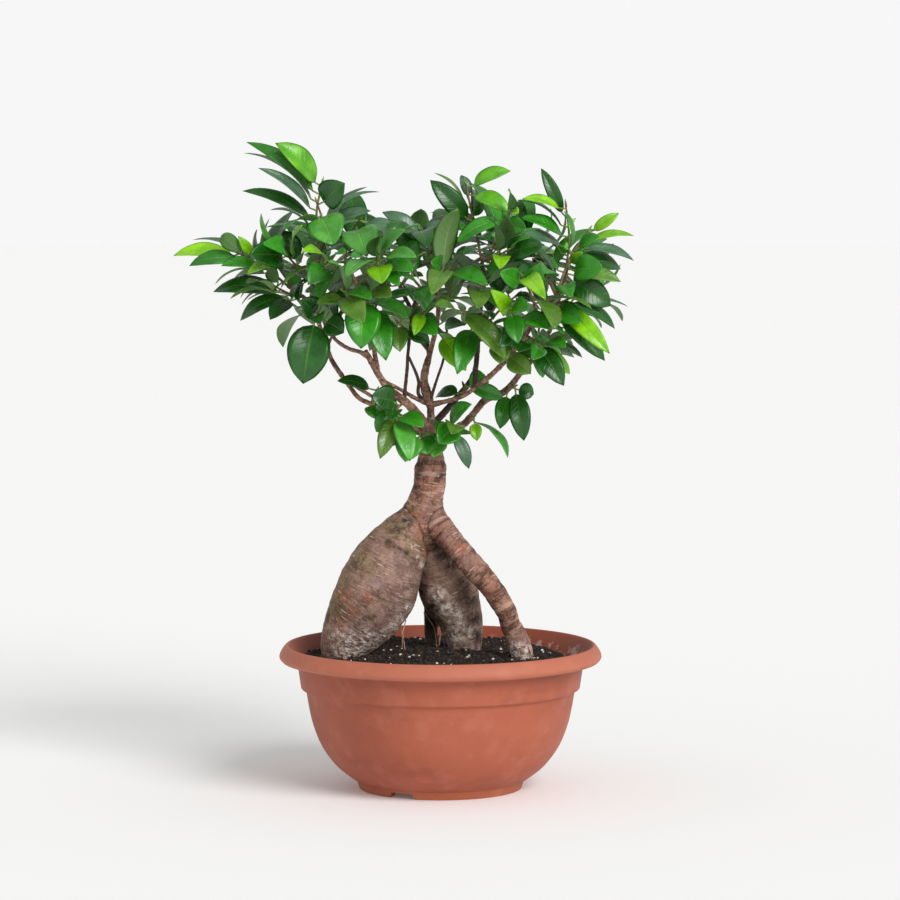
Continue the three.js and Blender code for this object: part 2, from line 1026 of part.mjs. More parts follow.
// Same numbers on every machine, from 0 to 1
function randomFrom(seed) {
  let state = seed >>> 0;
  return () => {
    state = (state + 0x6d2b79f5) >>> 0;
    let mixed = Math.imul(state ^ (state >>> 15), state | 1);
    mixed = (mixed + Math.imul(mixed ^ (mixed >>> 7), mixed | 61)) ^ mixed;
    return ((mixed ^ (mixed >>> 14)) >>> 0) / 4294967296;
  };
}

// Bowl

function smoothLine(points, steps) {
  return new THREE.SplineCurve(points.map(([r, z]) => new THREE.Vector2(r, z))).getPoints(steps);
}

function bowlSolid() {
  const lipBottom = BOWL_HEIGHT - LIP_HEIGHT;
  const bandTop = lipBottom - LIP_UNDERCUT;
  const bandBottom = bandTop - BAND_HEIGHT;
  const bandBottomRadius = BAND_RADIUS - BAND_TAPER;
  const footTop = FOOT_HEIGHT - FOOT_RECESS;
  const floorTop = footTop + FLOOR_THICKNESS;
  const bellyBottom = [FOOT_RADIUS + FOOT_STEP, FOOT_HEIGHT];
  const bellyTop = [bandBottomRadius - STEP, bandBottom - LIP_UNDERCUT];
  const belly = smoothLine([bellyBottom, ...BELLY, bellyTop], BELLY_STEPS);
  const lipLine = LIP.map(([inwards, height]) => [RIM_RADIUS - inwards, lipBottom + height]);
  const lip = smoothLine(lipLine, LIP_STEPS);
  const wall = belly.slice(INSIDE_FROM_STEP);
  const inside = wall.map((point) => new THREE.Vector2(point.x - WALL, point.y + WALL_RISE));
  const profile = [
    new THREE.Vector2(0, footTop),
    new THREE.Vector2(FOOT_RADIUS - FOOT_RING_WIDTH - FOOT_STEP, footTop),
    new THREE.Vector2(FOOT_RADIUS - FOOT_RING_WIDTH, 0),
    new THREE.Vector2(FOOT_RADIUS, 0),
    ...belly,
    new THREE.Vector2(bandBottomRadius, bandBottom),
    new THREE.Vector2(BAND_RADIUS, bandTop),
    ...lip,
    new THREE.Vector2(BAND_RADIUS - WALL, bandTop),
    ...inside.toReversed(),
    new THREE.Vector2(FLOOR_RADIUS, floorTop),
    new THREE.Vector2(0, floorTop),
  ];
  let bowl = solidOf(new THREE.LatheGeometry(profile, BOWL_SEGMENTS).rotateX(Math.PI / 2));
  const notchShape = new THREE.Shape();
  notchShape.moveTo(-FOOT_NOTCH_WIDTH / 2 - FOOT_NOTCH_FLARE, -CUT_PAST);
  notchShape.lineTo(FOOT_NOTCH_WIDTH / 2 + FOOT_NOTCH_FLARE, -CUT_PAST);
  notchShape.lineTo(FOOT_NOTCH_WIDTH / 2, FOOT_NOTCH_HEIGHT);
  notchShape.lineTo(-FOOT_NOTCH_WIDTH / 2, FOOT_NOTCH_HEIGHT);
  for (let i = 0; i < FOOT_NOTCHES; i += 1) {
    const angle = FIRST_NOTCH_ANGLE + (i / FOOT_NOTCHES) * Math.PI * 2;
    const notch = new THREE.ExtrudeGeometry(notchShape, { depth: FOOT_NOTCH_DEPTH, bevelEnabled: false });
    notch.translate(0, 0, FOOT_RADIUS - FOOT_NOTCH_DEPTH + CUT_PAST * 2);
    notch.rotateX(Math.PI / 2).rotateZ(angle + Math.PI / 2);
    bowl = bowl.subtract(solidOf(notch));
  }
  for (let i = 0; i < DRAIN_HOLES; i += 1) {
    const angle = ((i + 0.5) / DRAIN_HOLES) * Math.PI * 2;
    const size = [DRAIN_HOLE_RADIUS, DRAIN_HOLE_RADIUS, DRAIN_CUT_LENGTH, DRAIN_HOLE_SIDES];
    const hole = new THREE.CylinderGeometry(...size);
    hole.rotateX(Math.PI / 2);
    hole.translate(DRAIN_HOLE_CIRCLE * Math.cos(angle), DRAIN_HOLE_CIRCLE * Math.sin(angle), FOOT_HEIGHT);
    bowl = bowl.subtract(solidOf(hole));
  }
  return { bowl, inside, bandTop, floorTop };
}

// Soil

function soilHeight(x, y) {
  const { smoothstep } = THREE.MathUtils;
  const fromMound = Math.hypot(x - SOIL_MOUND_MIDDLE[0], y - SOIL_MOUND_MIDDLE[1]) / SOIL_MOUND_SPREAD;
  const mound = SOIL_MOUND * Math.exp(-fromMound * fromMound);
  const lowSide = SOIL_LOW_SIDE * smoothstep(x, SOIL_LOW_SIDE_FROM, SOIL_LOW_SIDE_TO);
  const backRise = SOIL_BACK_RISE * smoothstep(y, SOIL_BACK_RISE_FROM, SOIL_BACK_RISE_TO);
  return SOIL_LEVEL + mound - lowSide + backRise;
}

function soilSolid({ inside, bandTop, floorTop }) {
  const bottom = floorTop + GAP;
  const side = inside.slice(1).map((point) => new THREE.Vector2(point.x - SIDE_GAP, point.y));
  const edge = BAND_RADIUS - WALL - SIDE_GAP;
  const profile = [
    new THREE.Vector2(0, bottom),
    new THREE.Vector2(FLOOR_RADIUS - 2 * SIDE_GAP, bottom),
    ...side,
    new THREE.Vector2(edge, bandTop),
    new THREE.Vector2(edge, SOIL_LEVEL),
    new THREE.Vector2(SOIL_RING_RADIUS, SOIL_LEVEL),
    new THREE.Vector2(0, SOIL_LEVEL),
  ];
  const geometry = new THREE.LatheGeometry(profile, BOWL_SEGMENTS).rotateX(Math.PI / 2);
  const places = geometry.attributes.position;
  for (let i = 0; i < places.count; i += 1) {
    if (Math.abs(places.getZ(i) - SOIL_LEVEL) < MERGE_DISTANCE) {
      places.setZ(i, soilHeight(places.getX(i), places.getY(i)));
    }
  }
  return solidOf(geometry);
}

// Wood

function tuberRelief(angle, place) {
  return RIDGES.reduce((sum, { height, around, along, start }) => {
    return sum + height * Math.sin(around * angle + along * place + start);
  }, 1);
}

function limbSolids(grow) {
  return Object.values(LIMBS).map(({ sides, line }) =>
    limbSolid(line, sides, grow, sides >= TUBER_SIDES ? tuberRelief : undefined),
  );
}

// Leaves

function vector([x, y, z]) {
  return new THREE.Vector3(x, y, z);
}

// The blade's base, its tip, its middle line, its side and the way its upper face looks
function leafShape(root, { out, tip, width, face, outline }) {
  const toTip = tip.clone().sub(root).normalize();
  const petiole = out.clone().multiplyScalar(PETIOLE_OUTWARDS).add(toTip).normalize();
  const base = root.clone().addScaledVector(petiole, PETIOLE_LENGTH);
  const chord = tip.clone().sub(base);
  const length = chord.length();
  const along = chord.clone().normalize();
  const upper = face.clone().addScaledVector(along, -face.dot(along)).normalize();
  const side = new THREE.Vector3().crossVectors(along, upper).normalize();
  const middle = base.clone().add(tip).multiplyScalar(0.5).addScaledVector(upper, 2 * LEAF_ARCH * length);
  const bend = new THREE.QuadraticBezierCurve3(base, middle, tip);
  return { root, base, tip, bend, side, width, petiole, outline };
}

// grow thickens the leaf all round, for the test that it is clear of what is already there
function leafSolid(leaf, grow, bladeOnly) {
  const { root, base, tip, bend, side, width, petiole, outline } = leaf;
  const rings = [];
  const section = (centre, along, half, keel) => {
    const upper = new THREE.Vector3().crossVectors(side, along).normalize();
    const edge = centre.clone().addScaledVector(upper, half * LEAF_FOLD + grow);
    return [
      edge.clone().addScaledVector(side, half + 2 * grow),
      centre.clone().addScaledVector(upper, -keel - grow),
      edge.clone().addScaledVector(side, -half - 2 * grow),
    ];
  };
  if (!bladeOnly) {
    rings.push(section(root, petiole, PETIOLE_ROOT_RADIUS, PETIOLE_ROOT_RADIUS));
  }
  rings.push(section(base, bend.getTangent(0), PETIOLE_RADIUS, PETIOLE_RADIUS));
  for (const [place, share] of outline) {
    rings.push(section(bend.getPoint(place), bend.getTangent(place), (share * width) / 2, LEAF_THICKNESS));
  }
  rings.push([tip.clone().addScaledVector(bend.getTangent(1), grow)]);
  return solidOf(skinOf(rings));
}

function boxesMeet(a, b) {
  return [0, 1, 2].every((k) => a.min[k] <= b.max[k] && b.min[k] <= a.max[k]);
}

function meets(piece, others) {
  const near = others.filter((other) => boxesMeet(piece.box, other.box));
  return near.some((other) => piece.solid.intersect(other.solid).volume() > SMALLEST_OVERLAP);
}

function boxed(solid) {
  return { solid, box: solid.boundingBox() };
}

// The stem of a twig, its places for leaves and the four random numbers that each leaf uses
function stemOf({ stem, leaves }, index) {
  const line = stem.map((place, i) => {
    const radius = THREE.MathUtils.lerp(STEM_BASE_RADIUS, STEM_TIP_RADIUS, i / (stem.length - 1));
    return [...place, radius];
  });
  const list = Array.isArray(leaves) ? leaves : Array(leaves).fill(RULE);
  const random = randomFrom(SEED + index);
  const curve = new THREE.CatmullRomCurve3(stem.map(placeOf));
  const sections = stem.length - 1;
  const centres = curve.getSpacedPoints(sections);
  const places = list.map((leaf, i) => {
    const share = i / (list.length - 1);
    const along = THREE.MathUtils.lerp(FIRST_LEAF, LAST_LEAF, share) * sections;
    const before = Math.floor(along);
    const root = centres[before].clone().lerp(centres[before + 1], along - before);
    const tangent = centres[before + 1].clone().sub(centres[before]).normalize();
    const draw = [random(), random(), random(), random()];
    return { leaf, share, root, tangent, draw };
  });
  return { line, places };
}

// Where a rule leaf's tip lies on the given try, and which way it faces
function ruleLeaf(place, i, attempt) {
  const { share, root, tangent, draw } = place;
  const turn = THREE.MathUtils.degToRad(RULE_TURNS[attempt % RULE_TURNS.length]);
  const scale = RULE_SCALES[Math.floor(attempt / RULE_TURNS.length)];
  const level = new THREE.Vector3(0, 0, 1).cross(tangent);
  const sideways = level.lengthSq() < UPRIGHT ? new THREE.Vector3(1, 0, 0) : level.normalize();
  const other = new THREE.Vector3().crossVectors(tangent, sideways);
  const angle = i * LEAF_TURN + draw[0] * TURN_SPREAD + turn;
  const out = sideways.multiplyScalar(Math.cos(angle)).addScaledVector(other, Math.sin(angle));
  const spread = THREE.MathUtils.lerp(OPEN_ANGLE, TIP_ANGLE, share) + ANGLE_SPREAD * (draw[1] - 0.5);
  const aim = tangent.clone().multiplyScalar(Math.cos(spread)).addScaledVector(out, Math.sin(spread));
  aim.z -= LEAST_DROOP + DROOP_SPREAD * draw[2];
  aim.normalize();
  const length = LEAF_LENGTH * scale * (SHORTEST_LEAF + LENGTH_SPREAD * draw[3]);
  const tip = root.clone().addScaledVector(aim, PETIOLE_LENGTH + length);
  const outwards = new THREE.Vector3(root.x - CROWN_MIDDLE_X, root.y, 0).divideScalar(CROWN_REACH);
  const face = vector(UP).add(outwards).addScaledVector(out, FACE_LEAN);
  const width = length * (LEAF_WIDTH_RATIO + WIDTH_SPREAD * (draw[1] - 0.5));
  return { out, tip, width, face, outline: RULE_LEAF_OUTLINE };
}

// Where a leaf with a place of its own lies on the given try
function placedLeaf(place, attempt) {
  const { leaf, root, tangent } = place;
  const [across, down, behind, width, face] = leaf;
  const tip = placeOf([across, down, behind + PLACED_SHIFTS[attempt % PLACED_SHIFTS.length]]);
  const toTip = tip.clone().sub(root);
  const out = toTip.addScaledVector(tangent, -toTip.dot(tangent)).normalize();
  const narrower = width * PLACED_WIDTHS[Math.floor(attempt / PLACED_SHIFTS.length)];
  return { out, tip, width: narrower, face: vector(face), outline: LEAF_OUTLINE };
}

function leafyTwigs(woodGrown, limbsGrown) {
  const twigs = TWIGS.map((twig, index) => ({ name: twig.name, ...stemOf(twig, index), leaves: [] }));
  let taken = woodGrown;
  for (const twig of twigs) {
    twig.stem = boxed(largestBody(limbSolid(twig.line, STEM_SIDES, 0).subtract(taken)));
    taken = taken.add(limbSolid(twig.line, STEM_SIDES, GAP));
  }
  const isClear = (leaf, twig) => {
    const others = twigs.filter((other) => other !== twig);
    const otherStems = others.map((other) => other.stem);
    const otherLeaves = others.flatMap((other) => other.leaves);
    const whole = boxed(leafSolid(leaf, GAP, false));
    const blade = boxed(leafSolid(leaf, GAP, true));
    const clearOfOthers = !meets(whole, [...limbsGrown, ...otherStems, ...otherLeaves]);
    return clearOfOthers && !meets(blade, [twig.stem, ...twig.leaves]);
  };
  const setLeaf = (twig, place, i) => {
    for (let attempt = 0; attempt < TRIES; attempt += 1) {
      const aim = place.leaf ? placedLeaf(place, attempt) : ruleLeaf(place, i, attempt);
      const leaf = leafShape(place.root, aim);
      if (isClear(leaf, twig)) {
        twig.leaves.push(boxed(leafSolid(leaf, 0, false)));
        return;
      }
    }
  };
  for (const withPlace of [true, false]) {
    for (const twig of twigs) {
      twig.places.forEach((place, i) => {
        if (Boolean(place.leaf) === withPlace) {
          setLeaf(twig, place, i);
        }
      });
    }
  }
  return twigs.map(({ name, stem, leaves }) => {
    const whole = leaves.reduce((sum, leaf) => sum.add(leaf.solid), stem.solid);
    return { name, solid: largestBody(whole) };
  });
}

// The whole thing

const MATERIALS = {
  terracotta: new THREE.MeshStandardMaterial({ color: 0xbb674d, roughness: 0.62, metalness: 0 }),
  soil: new THREE.MeshStandardMaterial({ color: 0x1e1611, roughness: 0.95, metalness: 0 }),
  bark: new THREE.MeshStandardMaterial({ color: 0x86695a, roughness: 0.8, metalness: 0 }),
  leaf: new THREE.MeshStandardMaterial({ color: 0x2c6f24, roughness: 0.35, metalness: 0 }),
};

const bonsai = new THREE.Group();

function addPiece(name, solid, material) {
  const piece = new THREE.Mesh(geometryOf(solid), material);
  piece.name = name;
  bonsai.add(piece);
}

const bowlParts = bowlSolid();
const limbs = limbSolids(0);
const limbsGrown = limbSolids(GAP).map(boxed);
const wood = limbs.reduce((sum, limb) => sum.add(limb));
const woodGrown = limbsGrown.reduce((sum, limb) => sum.add(limb.solid), limbsGrown[0].solid);

addPiece("pot", bowlParts.bowl, MATERIALS.terracotta);
addPiece("soil", largestBody(soilSolid(bowlParts).subtract(woodGrown)), MATERIALS.soil);
addPiece("wood", wood, MATERIALS.bark);
for (const twig of leafyTwigs(woodGrown, limbsGrown)) {
  addPiece(`leafy_twig_${twig.name}`, twig.solid, MATERIALS.leaf);
}

const reach = new THREE.Box3().setFromObject(bonsai);
bonsai.position.set(-(reach.min.x + reach.max.x) / 2, -(reach.min.y + reach.max.y) / 2, 0);

export default bonsai;
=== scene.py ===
"""Ficus ginseng bonsai in its bowl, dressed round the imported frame. Metres, +Z up."""
import math

import bmesh
import bpy
import numpy as np
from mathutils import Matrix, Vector, noise
from mathutils.kdtree import KDTree


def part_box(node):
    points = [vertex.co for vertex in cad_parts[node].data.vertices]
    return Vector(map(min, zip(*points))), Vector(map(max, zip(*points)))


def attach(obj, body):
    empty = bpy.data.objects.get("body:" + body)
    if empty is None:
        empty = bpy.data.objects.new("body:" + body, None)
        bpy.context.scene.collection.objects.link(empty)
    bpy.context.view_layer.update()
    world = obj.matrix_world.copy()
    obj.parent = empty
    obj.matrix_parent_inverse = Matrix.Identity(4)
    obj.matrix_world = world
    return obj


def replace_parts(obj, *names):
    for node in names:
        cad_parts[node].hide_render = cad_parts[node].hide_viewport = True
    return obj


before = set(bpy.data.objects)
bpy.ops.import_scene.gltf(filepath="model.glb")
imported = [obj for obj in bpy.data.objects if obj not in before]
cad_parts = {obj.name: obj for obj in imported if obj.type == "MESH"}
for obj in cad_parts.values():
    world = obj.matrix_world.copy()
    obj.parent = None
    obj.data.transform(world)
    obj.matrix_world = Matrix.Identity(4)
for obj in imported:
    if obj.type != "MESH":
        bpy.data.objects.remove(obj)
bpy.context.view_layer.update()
scene = bpy.context.scene
MM = 0.001


# The view: the camera stands where the photograph was taken from, given from the bowl's axis.
# A place in the photograph is a pixel across and down, and a depth behind the bowl's axis.
PHOTO_PIXELS = 900
VIEW_RIGHT = 8.3 * MM
VIEW_DISTANCE = 3470 * MM
VIEW_HEIGHT = 582.8 * MM
VIEW_TILT = math.radians(4.732)
VIEW_FOCAL_PIXELS = 4009
VIEW_MIDDLE_PIXEL = 450
SENSOR_MM = 36

pot_low, pot_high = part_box("pot")
BOWL_AXIS = Vector(((pot_low.x + pot_high.x) / 2, (pot_low.y + pot_high.y) / 2, 0))

camera_data = bpy.data.cameras.new("photo_camera")
camera_data.sensor_width = SENSOR_MM
camera_data.lens = VIEW_FOCAL_PIXELS / PHOTO_PIXELS * SENSOR_MM
camera_data.clip_start = 0.1
camera_data.clip_end = 60
camera = bpy.data.objects.new("photo_camera", camera_data)
camera.location = BOWL_AXIS + Vector((VIEW_RIGHT, -VIEW_DISTANCE, VIEW_HEIGHT))
camera.rotation_euler = (math.pi / 2 - VIEW_TILT, 0, 0)
scene.collection.objects.link(camera)
scene.camera = camera
scene.view_settings.view_transform = "Standard"


def place_of(across, down, behind):
    """The place that the photograph shows at a pixel, at a depth in mm behind the bowl's axis."""
    right = (across - VIEW_MIDDLE_PIXEL) / VIEW_FOCAL_PIXELS
    up = (VIEW_MIDDLE_PIXEL - down) / VIEW_FOCAL_PIXELS
    forwards = math.cos(VIEW_TILT) + up * math.sin(VIEW_TILT)
    upwards = up * math.cos(VIEW_TILT) - math.sin(VIEW_TILT)
    reach = (VIEW_DISTANCE + behind * MM) / forwards
    return BOWL_AXIS + Vector((VIEW_RIGHT + reach * right, behind * MM, VIEW_HEIGHT + reach * upwards))


def pixels_of(places):
    """The pixels at which the photograph shows places, the other way round from place_of."""
    away = np.array(places) - np.array(camera.location)
    forwards = away[:, 1] * math.cos(VIEW_TILT) - away[:, 2] * math.sin(VIEW_TILT)
    upwards = away[:, 1] * math.sin(VIEW_TILT) + away[:, 2] * math.cos(VIEW_TILT)
    shares = np.stack([away[:, 0] / forwards, -upwards / forwards], axis=1)
    return VIEW_MIDDLE_PIXEL + VIEW_FOCAL_PIXELS * shares


# The bowl: one injection moulding in terracotta-coloured plastic, with a rolled rim, a band under it,
# a rounded belly and a notched foot ring. The surface is matt with faint flow marks and dust.
RIM_RADIUS = 140.4
BOWL_HEIGHT = 125.8
LIP_HEIGHT = 13.9
BAND_HEIGHT = 21.2
BAND_RADIUS = 124.7
BAND_TAPER = 3.1
STEP = 4.4
WALL = 4.2
WALL_RISE = 1.2
LIP_UNDERCUT = 2.4
FOOT_RADIUS = 71
FOOT_HEIGHT = 7
FOOT_RING_WIDTH = 7.5
FOOT_RECESS = 2
FOOT_STEP = 2
FLOOR_THICKNESS = 4.6
FLOOR_RADIUS = 72
BELLY = [(79.8, 11.3), (92.4, 21.9), (103.8, 37.8), (110.6, 54.4), (114.2, 68.4)]
LIP = [(2.6, 0), (0, 3.4), (1.6, 8.6), (6, LIP_HEIGHT), (9.4, LIP_HEIGHT - 2.2)]
BOWL_SEGMENTS = 144
BELLY_STEPS = 30
LIP_STEPS = 16
EDGE_ROUND = 0.9
EDGE_STEPS = 4
NOTCHES = 3
NOTCH_WIDTH = 20
NOTCH_HEIGHT = 5
NOTCH_FLARE = 3
NOTCH_DEPTH = 20
NOTCH_OVERSHOOT = 2
FIRST_NOTCH_ANGLE = math.radians(-118)
DRAIN_HOLES = 4
DRAIN_HOLE_RADIUS = 5
DRAIN_HOLE_CIRCLE = 38
DRAIN_HOLE_SIDES = 24
DRAIN_CUT_LENGTH = 18
SMOOTH_UP_TO = math.radians(35)
# Where the stains and the painted highlight on the lip fade in, in metres: heights, and for TIDE_SIDE a
# distance to the right of the axis
LIP_HIGHLIGHT_AND_WEAR = (0.110, 0.113)
TIDE_MARK = (0.122, 0.117)
TIDE_SIDE = (0.02, 0.08)
FOOT_DUST = (0.014, 0.003)


class Flow:
    """A socket of a material's nodes. Sums and products of flows add their Math nodes."""

    def __init__(self, tree, socket=None):
        self.tree = tree
        self.socket = socket

    def node(self, kind, settings=None, inputs=None, output=0):
        """Adds a node: its settings first, then the values or links of its sockets."""
        made = self.tree.nodes.new(kind)
        for name, value in (settings or {}).items():
            setattr(made, name, value)
        for name, value in (inputs or {}).items():
            if isinstance(value, Flow):
                self.tree.links.new(value.socket, made.inputs[name])
            else:
                made.inputs[name].default_value = value
        return Flow(self.tree, made.outputs[output])

    def maths(self, operation, *values):
        return self.node("ShaderNodeMath", {"operation": operation}, dict(enumerate(values)))

    def __add__(self, other):
        return self.maths("ADD", self, other)

    def __radd__(self, other):
        return self.maths("ADD", other, self)

    def __sub__(self, other):
        return self.maths("SUBTRACT", self, other)

    def __rsub__(self, other):
        return self.maths("SUBTRACT", other, self)

    def __mul__(self, other):
        return self.maths("MULTIPLY", self, other)

    def __rmul__(self, other):
        return self.maths("MULTIPLY", other, self)

    def absolute(self):
        return self.maths("ABSOLUTE", self)

    def mask(self, low, high):
        """0 below low, 1 above high, smooth between. With low above high it falls instead."""
        settings = {"interpolation_type": "SMOOTHSTEP"}
        return self.node("ShaderNodeMapRange", settings, {0: self, 1: low, 2: high})

    def tint(self, first, second):
        """This flow's mix of two colours."""
        return self.node("ShaderNodeMix", {"data_type": "RGBA"}, {0: self, 6: first, 7: second}, 2)

    def between(self, low, high, first, second):
        """One colour where this flow is below low, the other where it is above high."""
        return self.mask(low, high).tint(colour(*first), colour(*second))

    def blended(self, way, other):
        """This colour multiplied by another, or with another added."""
        settings = {"data_type": "RGBA", "blend_type": way}
        return self.node("ShaderNodeMix", settings, {0: 1.0, 6: self, 7: other}, 2)

    def part(self, axis):
        return self.node("ShaderNodeSeparateXYZ", None, {0: self}, axis)

    def stretched(self, scale):
        return self.node("ShaderNodeMapping", None, {0: self, 3: scale})

    def grain(self, scale, detail=3, roughness=0.55):
        """Noise over this flow's places."""
        inputs = {"Vector": self, "Scale": scale, "Detail": detail, "Roughness": roughness}
        return self.node("ShaderNodeTexNoise", None, inputs)

    def cells(self, scale):
        """Distance to the nearest of scattered points over this flow's places."""
        inputs = {"Vector": self, "Scale": scale, "Randomness": 1}
        return self.node("ShaderNodeTexVoronoi", None, inputs)

    def read(self, name, output="Fac"):
        """What the piece's own mesh carries under a name."""
        return self.node("ShaderNodeAttribute", {"attribute_name": name}, None, output)


def colour(red, green, blue):
    """A colour as the eye sees it, 0 to 255, turned into the amounts of light that shaders use."""
    shares = [value / 255 for value in (red, green, blue)]
    light = [s / 12.92 if s <= 0.04045 else ((s + 0.055) / 1.055) ** 2.4 for s in shares]
    return (*light, 1)


def coats(base, layers):
    """A colour with layers laid over it in turn: how strong each is, and its colour."""
    for strength, shade in layers:
        base = strength.tint(base, shade if isinstance(shade, Flow) else colour(*shade))
    return base


def new_material(name):
    """A material, its shader, and a flow that starts from the object's own coordinates."""
    material = bpy.data.materials.new(name)
    material.use_nodes = True
    shader = material.node_tree.nodes["Principled BSDF"]
    here = Flow(material.node_tree).node("ShaderNodeTexCoord", None, None, "Object")
    return material, shader, here


def feed(shader, **flows):
    """Joins flows to the shader's sockets, or sets them; Base_Color is the socket Base Color."""
    for name, value in flows.items():
        socket = shader.inputs[name.replace("_", " ")]
        if isinstance(value, Flow):
            value.tree.links.new(value.socket, socket)
        else:
            socket.default_value = value


def bump(height, distance, strength=1.0, under=None):
    inputs = {"Strength": strength, "Distance": distance, "Height": height}
    if under:
        inputs["Normal"] = under
    return height.node("ShaderNodeBump", None, inputs)


def mesh_object(name, points, faces, materials):
    mesh = bpy.data.meshes.new(name)
    mesh.from_pydata([tuple(p) for p in points], [], faces)
    made = bpy.data.objects.new(name, mesh)
    for material in materials:
        mesh.materials.append(material)
    scene.collection.objects.link(made)
    return made


def give(made, name, values, kind="FLOAT"):
    """Stores a value for each point of an object's mesh, for its material to read."""
    field = {"FLOAT": "value", "FLOAT_VECTOR": "vector", "FLOAT_COLOR": "color"}[kind]
    attribute = made.data.attributes.new(name, kind, "POINT")
    attribute.data.foreach_set(field, np.asarray(values, np.float32).ravel())


def baked(made):
    """Puts the result of an object's modifiers into its own mesh."""
    depsgraph = bpy.context.evaluated_depsgraph_get()
    old = made.data
    made.data = bpy.data.meshes.new_from_object(made.evaluated_get(depsgraph))
    made.modifiers.clear()
    bpy.data.meshes.remove(old)


def outwards(angle):
    """The level direction at an angle round the bowl's axis."""
    return Vector((math.cos(angle), math.sin(angle), 0))


def smooth_line(points, steps):
    """A smooth line through 2-D points, as the bowl's mould was turned."""
    line = []
    spans = len(points) - 1
    for i in range(steps + 1):
        place = i / steps * spans
        at = min(int(place), spans - 1)
        t = place - at
        p0, p1 = points[max(at - 1, 0)], points[at]
        p2, p3 = points[at + 1], points[min(at + 2, spans)]
        line.append(tuple(
            b + 0.5 * t * (c - a + t * (2 * a - 5 * b + 4 * c - d + t * (3 * (b - c) + d - a)))
            for a, b, c, d in zip(p0, p1, p2, p3)
        ))
    return line


def rounded(corners):
    """The same 2-D line with every sharp corner rounded off."""
    line = [corners[0]]
    for before, corner, after in zip(corners, corners[1:], corners[2:]):
        before, corner, after = Vector(before), Vector(corner), Vector(after)
        arrive, leave = before - corner, after - corner
        if arrive.length < 1e-6 or leave.length < 1e-6 or arrive.angle(-leave) < SMOOTH_UP_TO:
            line.append(tuple(corner))
            continue
        reach = min(EDGE_ROUND, arrive.length * 0.45, leave.length * 0.45)
        start = corner + arrive.normalized() * reach
        end = corner + leave.normalized() * reach
        for i in range(EDGE_STEPS + 1):
            t = i / EDGE_STEPS
            line.append(tuple(start.lerp(corner, t).lerp(corner.lerp(end, t), t)))
    line.append(corners[-1])
    return line


lip_bottom = BOWL_HEIGHT - LIP_HEIGHT
band_top = lip_bottom - LIP_UNDERCUT
band_bottom = band_top - BAND_HEIGHT
band_bottom_radius = BAND_RADIUS - BAND_TAPER
foot_top = FOOT_HEIGHT - FOOT_RECESS
floor_top = foot_top + FLOOR_THICKNESS
belly_bottom = (FOOT_RADIUS + FOOT_STEP, FOOT_HEIGHT)
belly_top = (band_bottom_radius - STEP, band_bottom - LIP_UNDERCUT)
belly = smooth_line([belly_bottom, *BELLY, belly_top], BELLY_STEPS)
lip = smooth_line([(RIM_RADIUS - inwards, lip_bottom + height) for inwards, height in LIP], LIP_STEPS)
inside = [(r - WALL, z + WALL_RISE) for r, z in belly if z + WALL_RISE > floor_top + WALL]
bowl_profile = rounded([
    (0, foot_top),
    (FOOT_RADIUS - FOOT_RING_WIDTH - FOOT_STEP, foot_top),
    (FOOT_RADIUS - FOOT_RING_WIDTH, 0),
    (FOOT_RADIUS, 0),
    *belly,
    (band_bottom_radius, band_bottom),
    (BAND_RADIUS, band_top),
    *lip,
    (BAND_RADIUS - WALL, band_top),
    *reversed(inside),
    (FLOOR_RADIUS, floor_top),
    (0, floor_top),
])


def turned(profile, segments):
    """Points and faces of a 2-D profile in mm, turned round the bowl's axis and closed on it."""
    points = [BOWL_AXIS + Vector((0, 0, profile[0][1] * MM))]
    for radius, height in profile[1:-1]:
        for i in range(segments):
            out = outwards(i / segments * math.tau) * radius * MM
            points.append(BOWL_AXIS + out + Vector((0, 0, height * MM)))
    points.append(BOWL_AXIS + Vector((0, 0, profile[-1][1] * MM)))
    rings = len(profile) - 2
    last = len(points) - 1
    faces = []
    for i in range(segments):
        j = (i + 1) % segments
        faces.append((0, 1 + j, 1 + i))
        faces.append((last, last - segments + i, last - segments + j))
        for ring in range(rings - 1):
            low = 1 + ring * segments
            faces.append((low + i, low + j, low + segments + j, low + segments + i))
    return points, faces


def wall_radius(height):
    """The inner wall's radius in mm at a height in mm."""
    line = [(FLOOR_RADIUS, floor_top), *inside, (BAND_RADIUS - WALL, band_top)]
    line.append((RIM_RADIUS - LIP[-1][0], BOWL_HEIGHT))
    for (r0, z0), (r1, z1) in zip(line, line[1:]):
        if z0 <= height <= z1:
            return r0 + (r1 - r0) * (height - z0) / (z1 - z0)
    return FLOOR_RADIUS


def cut(made, outline, offset):
    """Cuts the shape between an outline and its copy moved by offset out of an object."""
    count = len(outline)
    sides = [(i, (i + 1) % count, count + (i + 1) % count, count + i) for i in range(count)]
    ends = [tuple(range(count)), tuple(range(count, 2 * count))]
    cutter = mesh_object("cutter", [*outline, *(p + offset for p in outline)], ends + sides, [])
    solid = bmesh.new()
    solid.from_mesh(cutter.data)
    bmesh.ops.recalc_face_normals(solid, faces=solid.faces)
    solid.to_mesh(cutter.data)
    solid.free()
    boolean = made.modifiers.new("cut", "BOOLEAN")
    boolean.operation = "DIFFERENCE"
    boolean.solver = "EXACT"
    boolean.object = cutter
    baked(made)
    bpy.data.objects.remove(cutter)


pot_material, pot_shader, here = new_material("moulded_terracotta")
cloud = here.grain(9, 4)
smear = here.stretched((14, 14, 55)).grain(1, 4, 0.6)
speck = here.grain(900, 2)
height_here = here.part(2)
inner = here.read("inner")
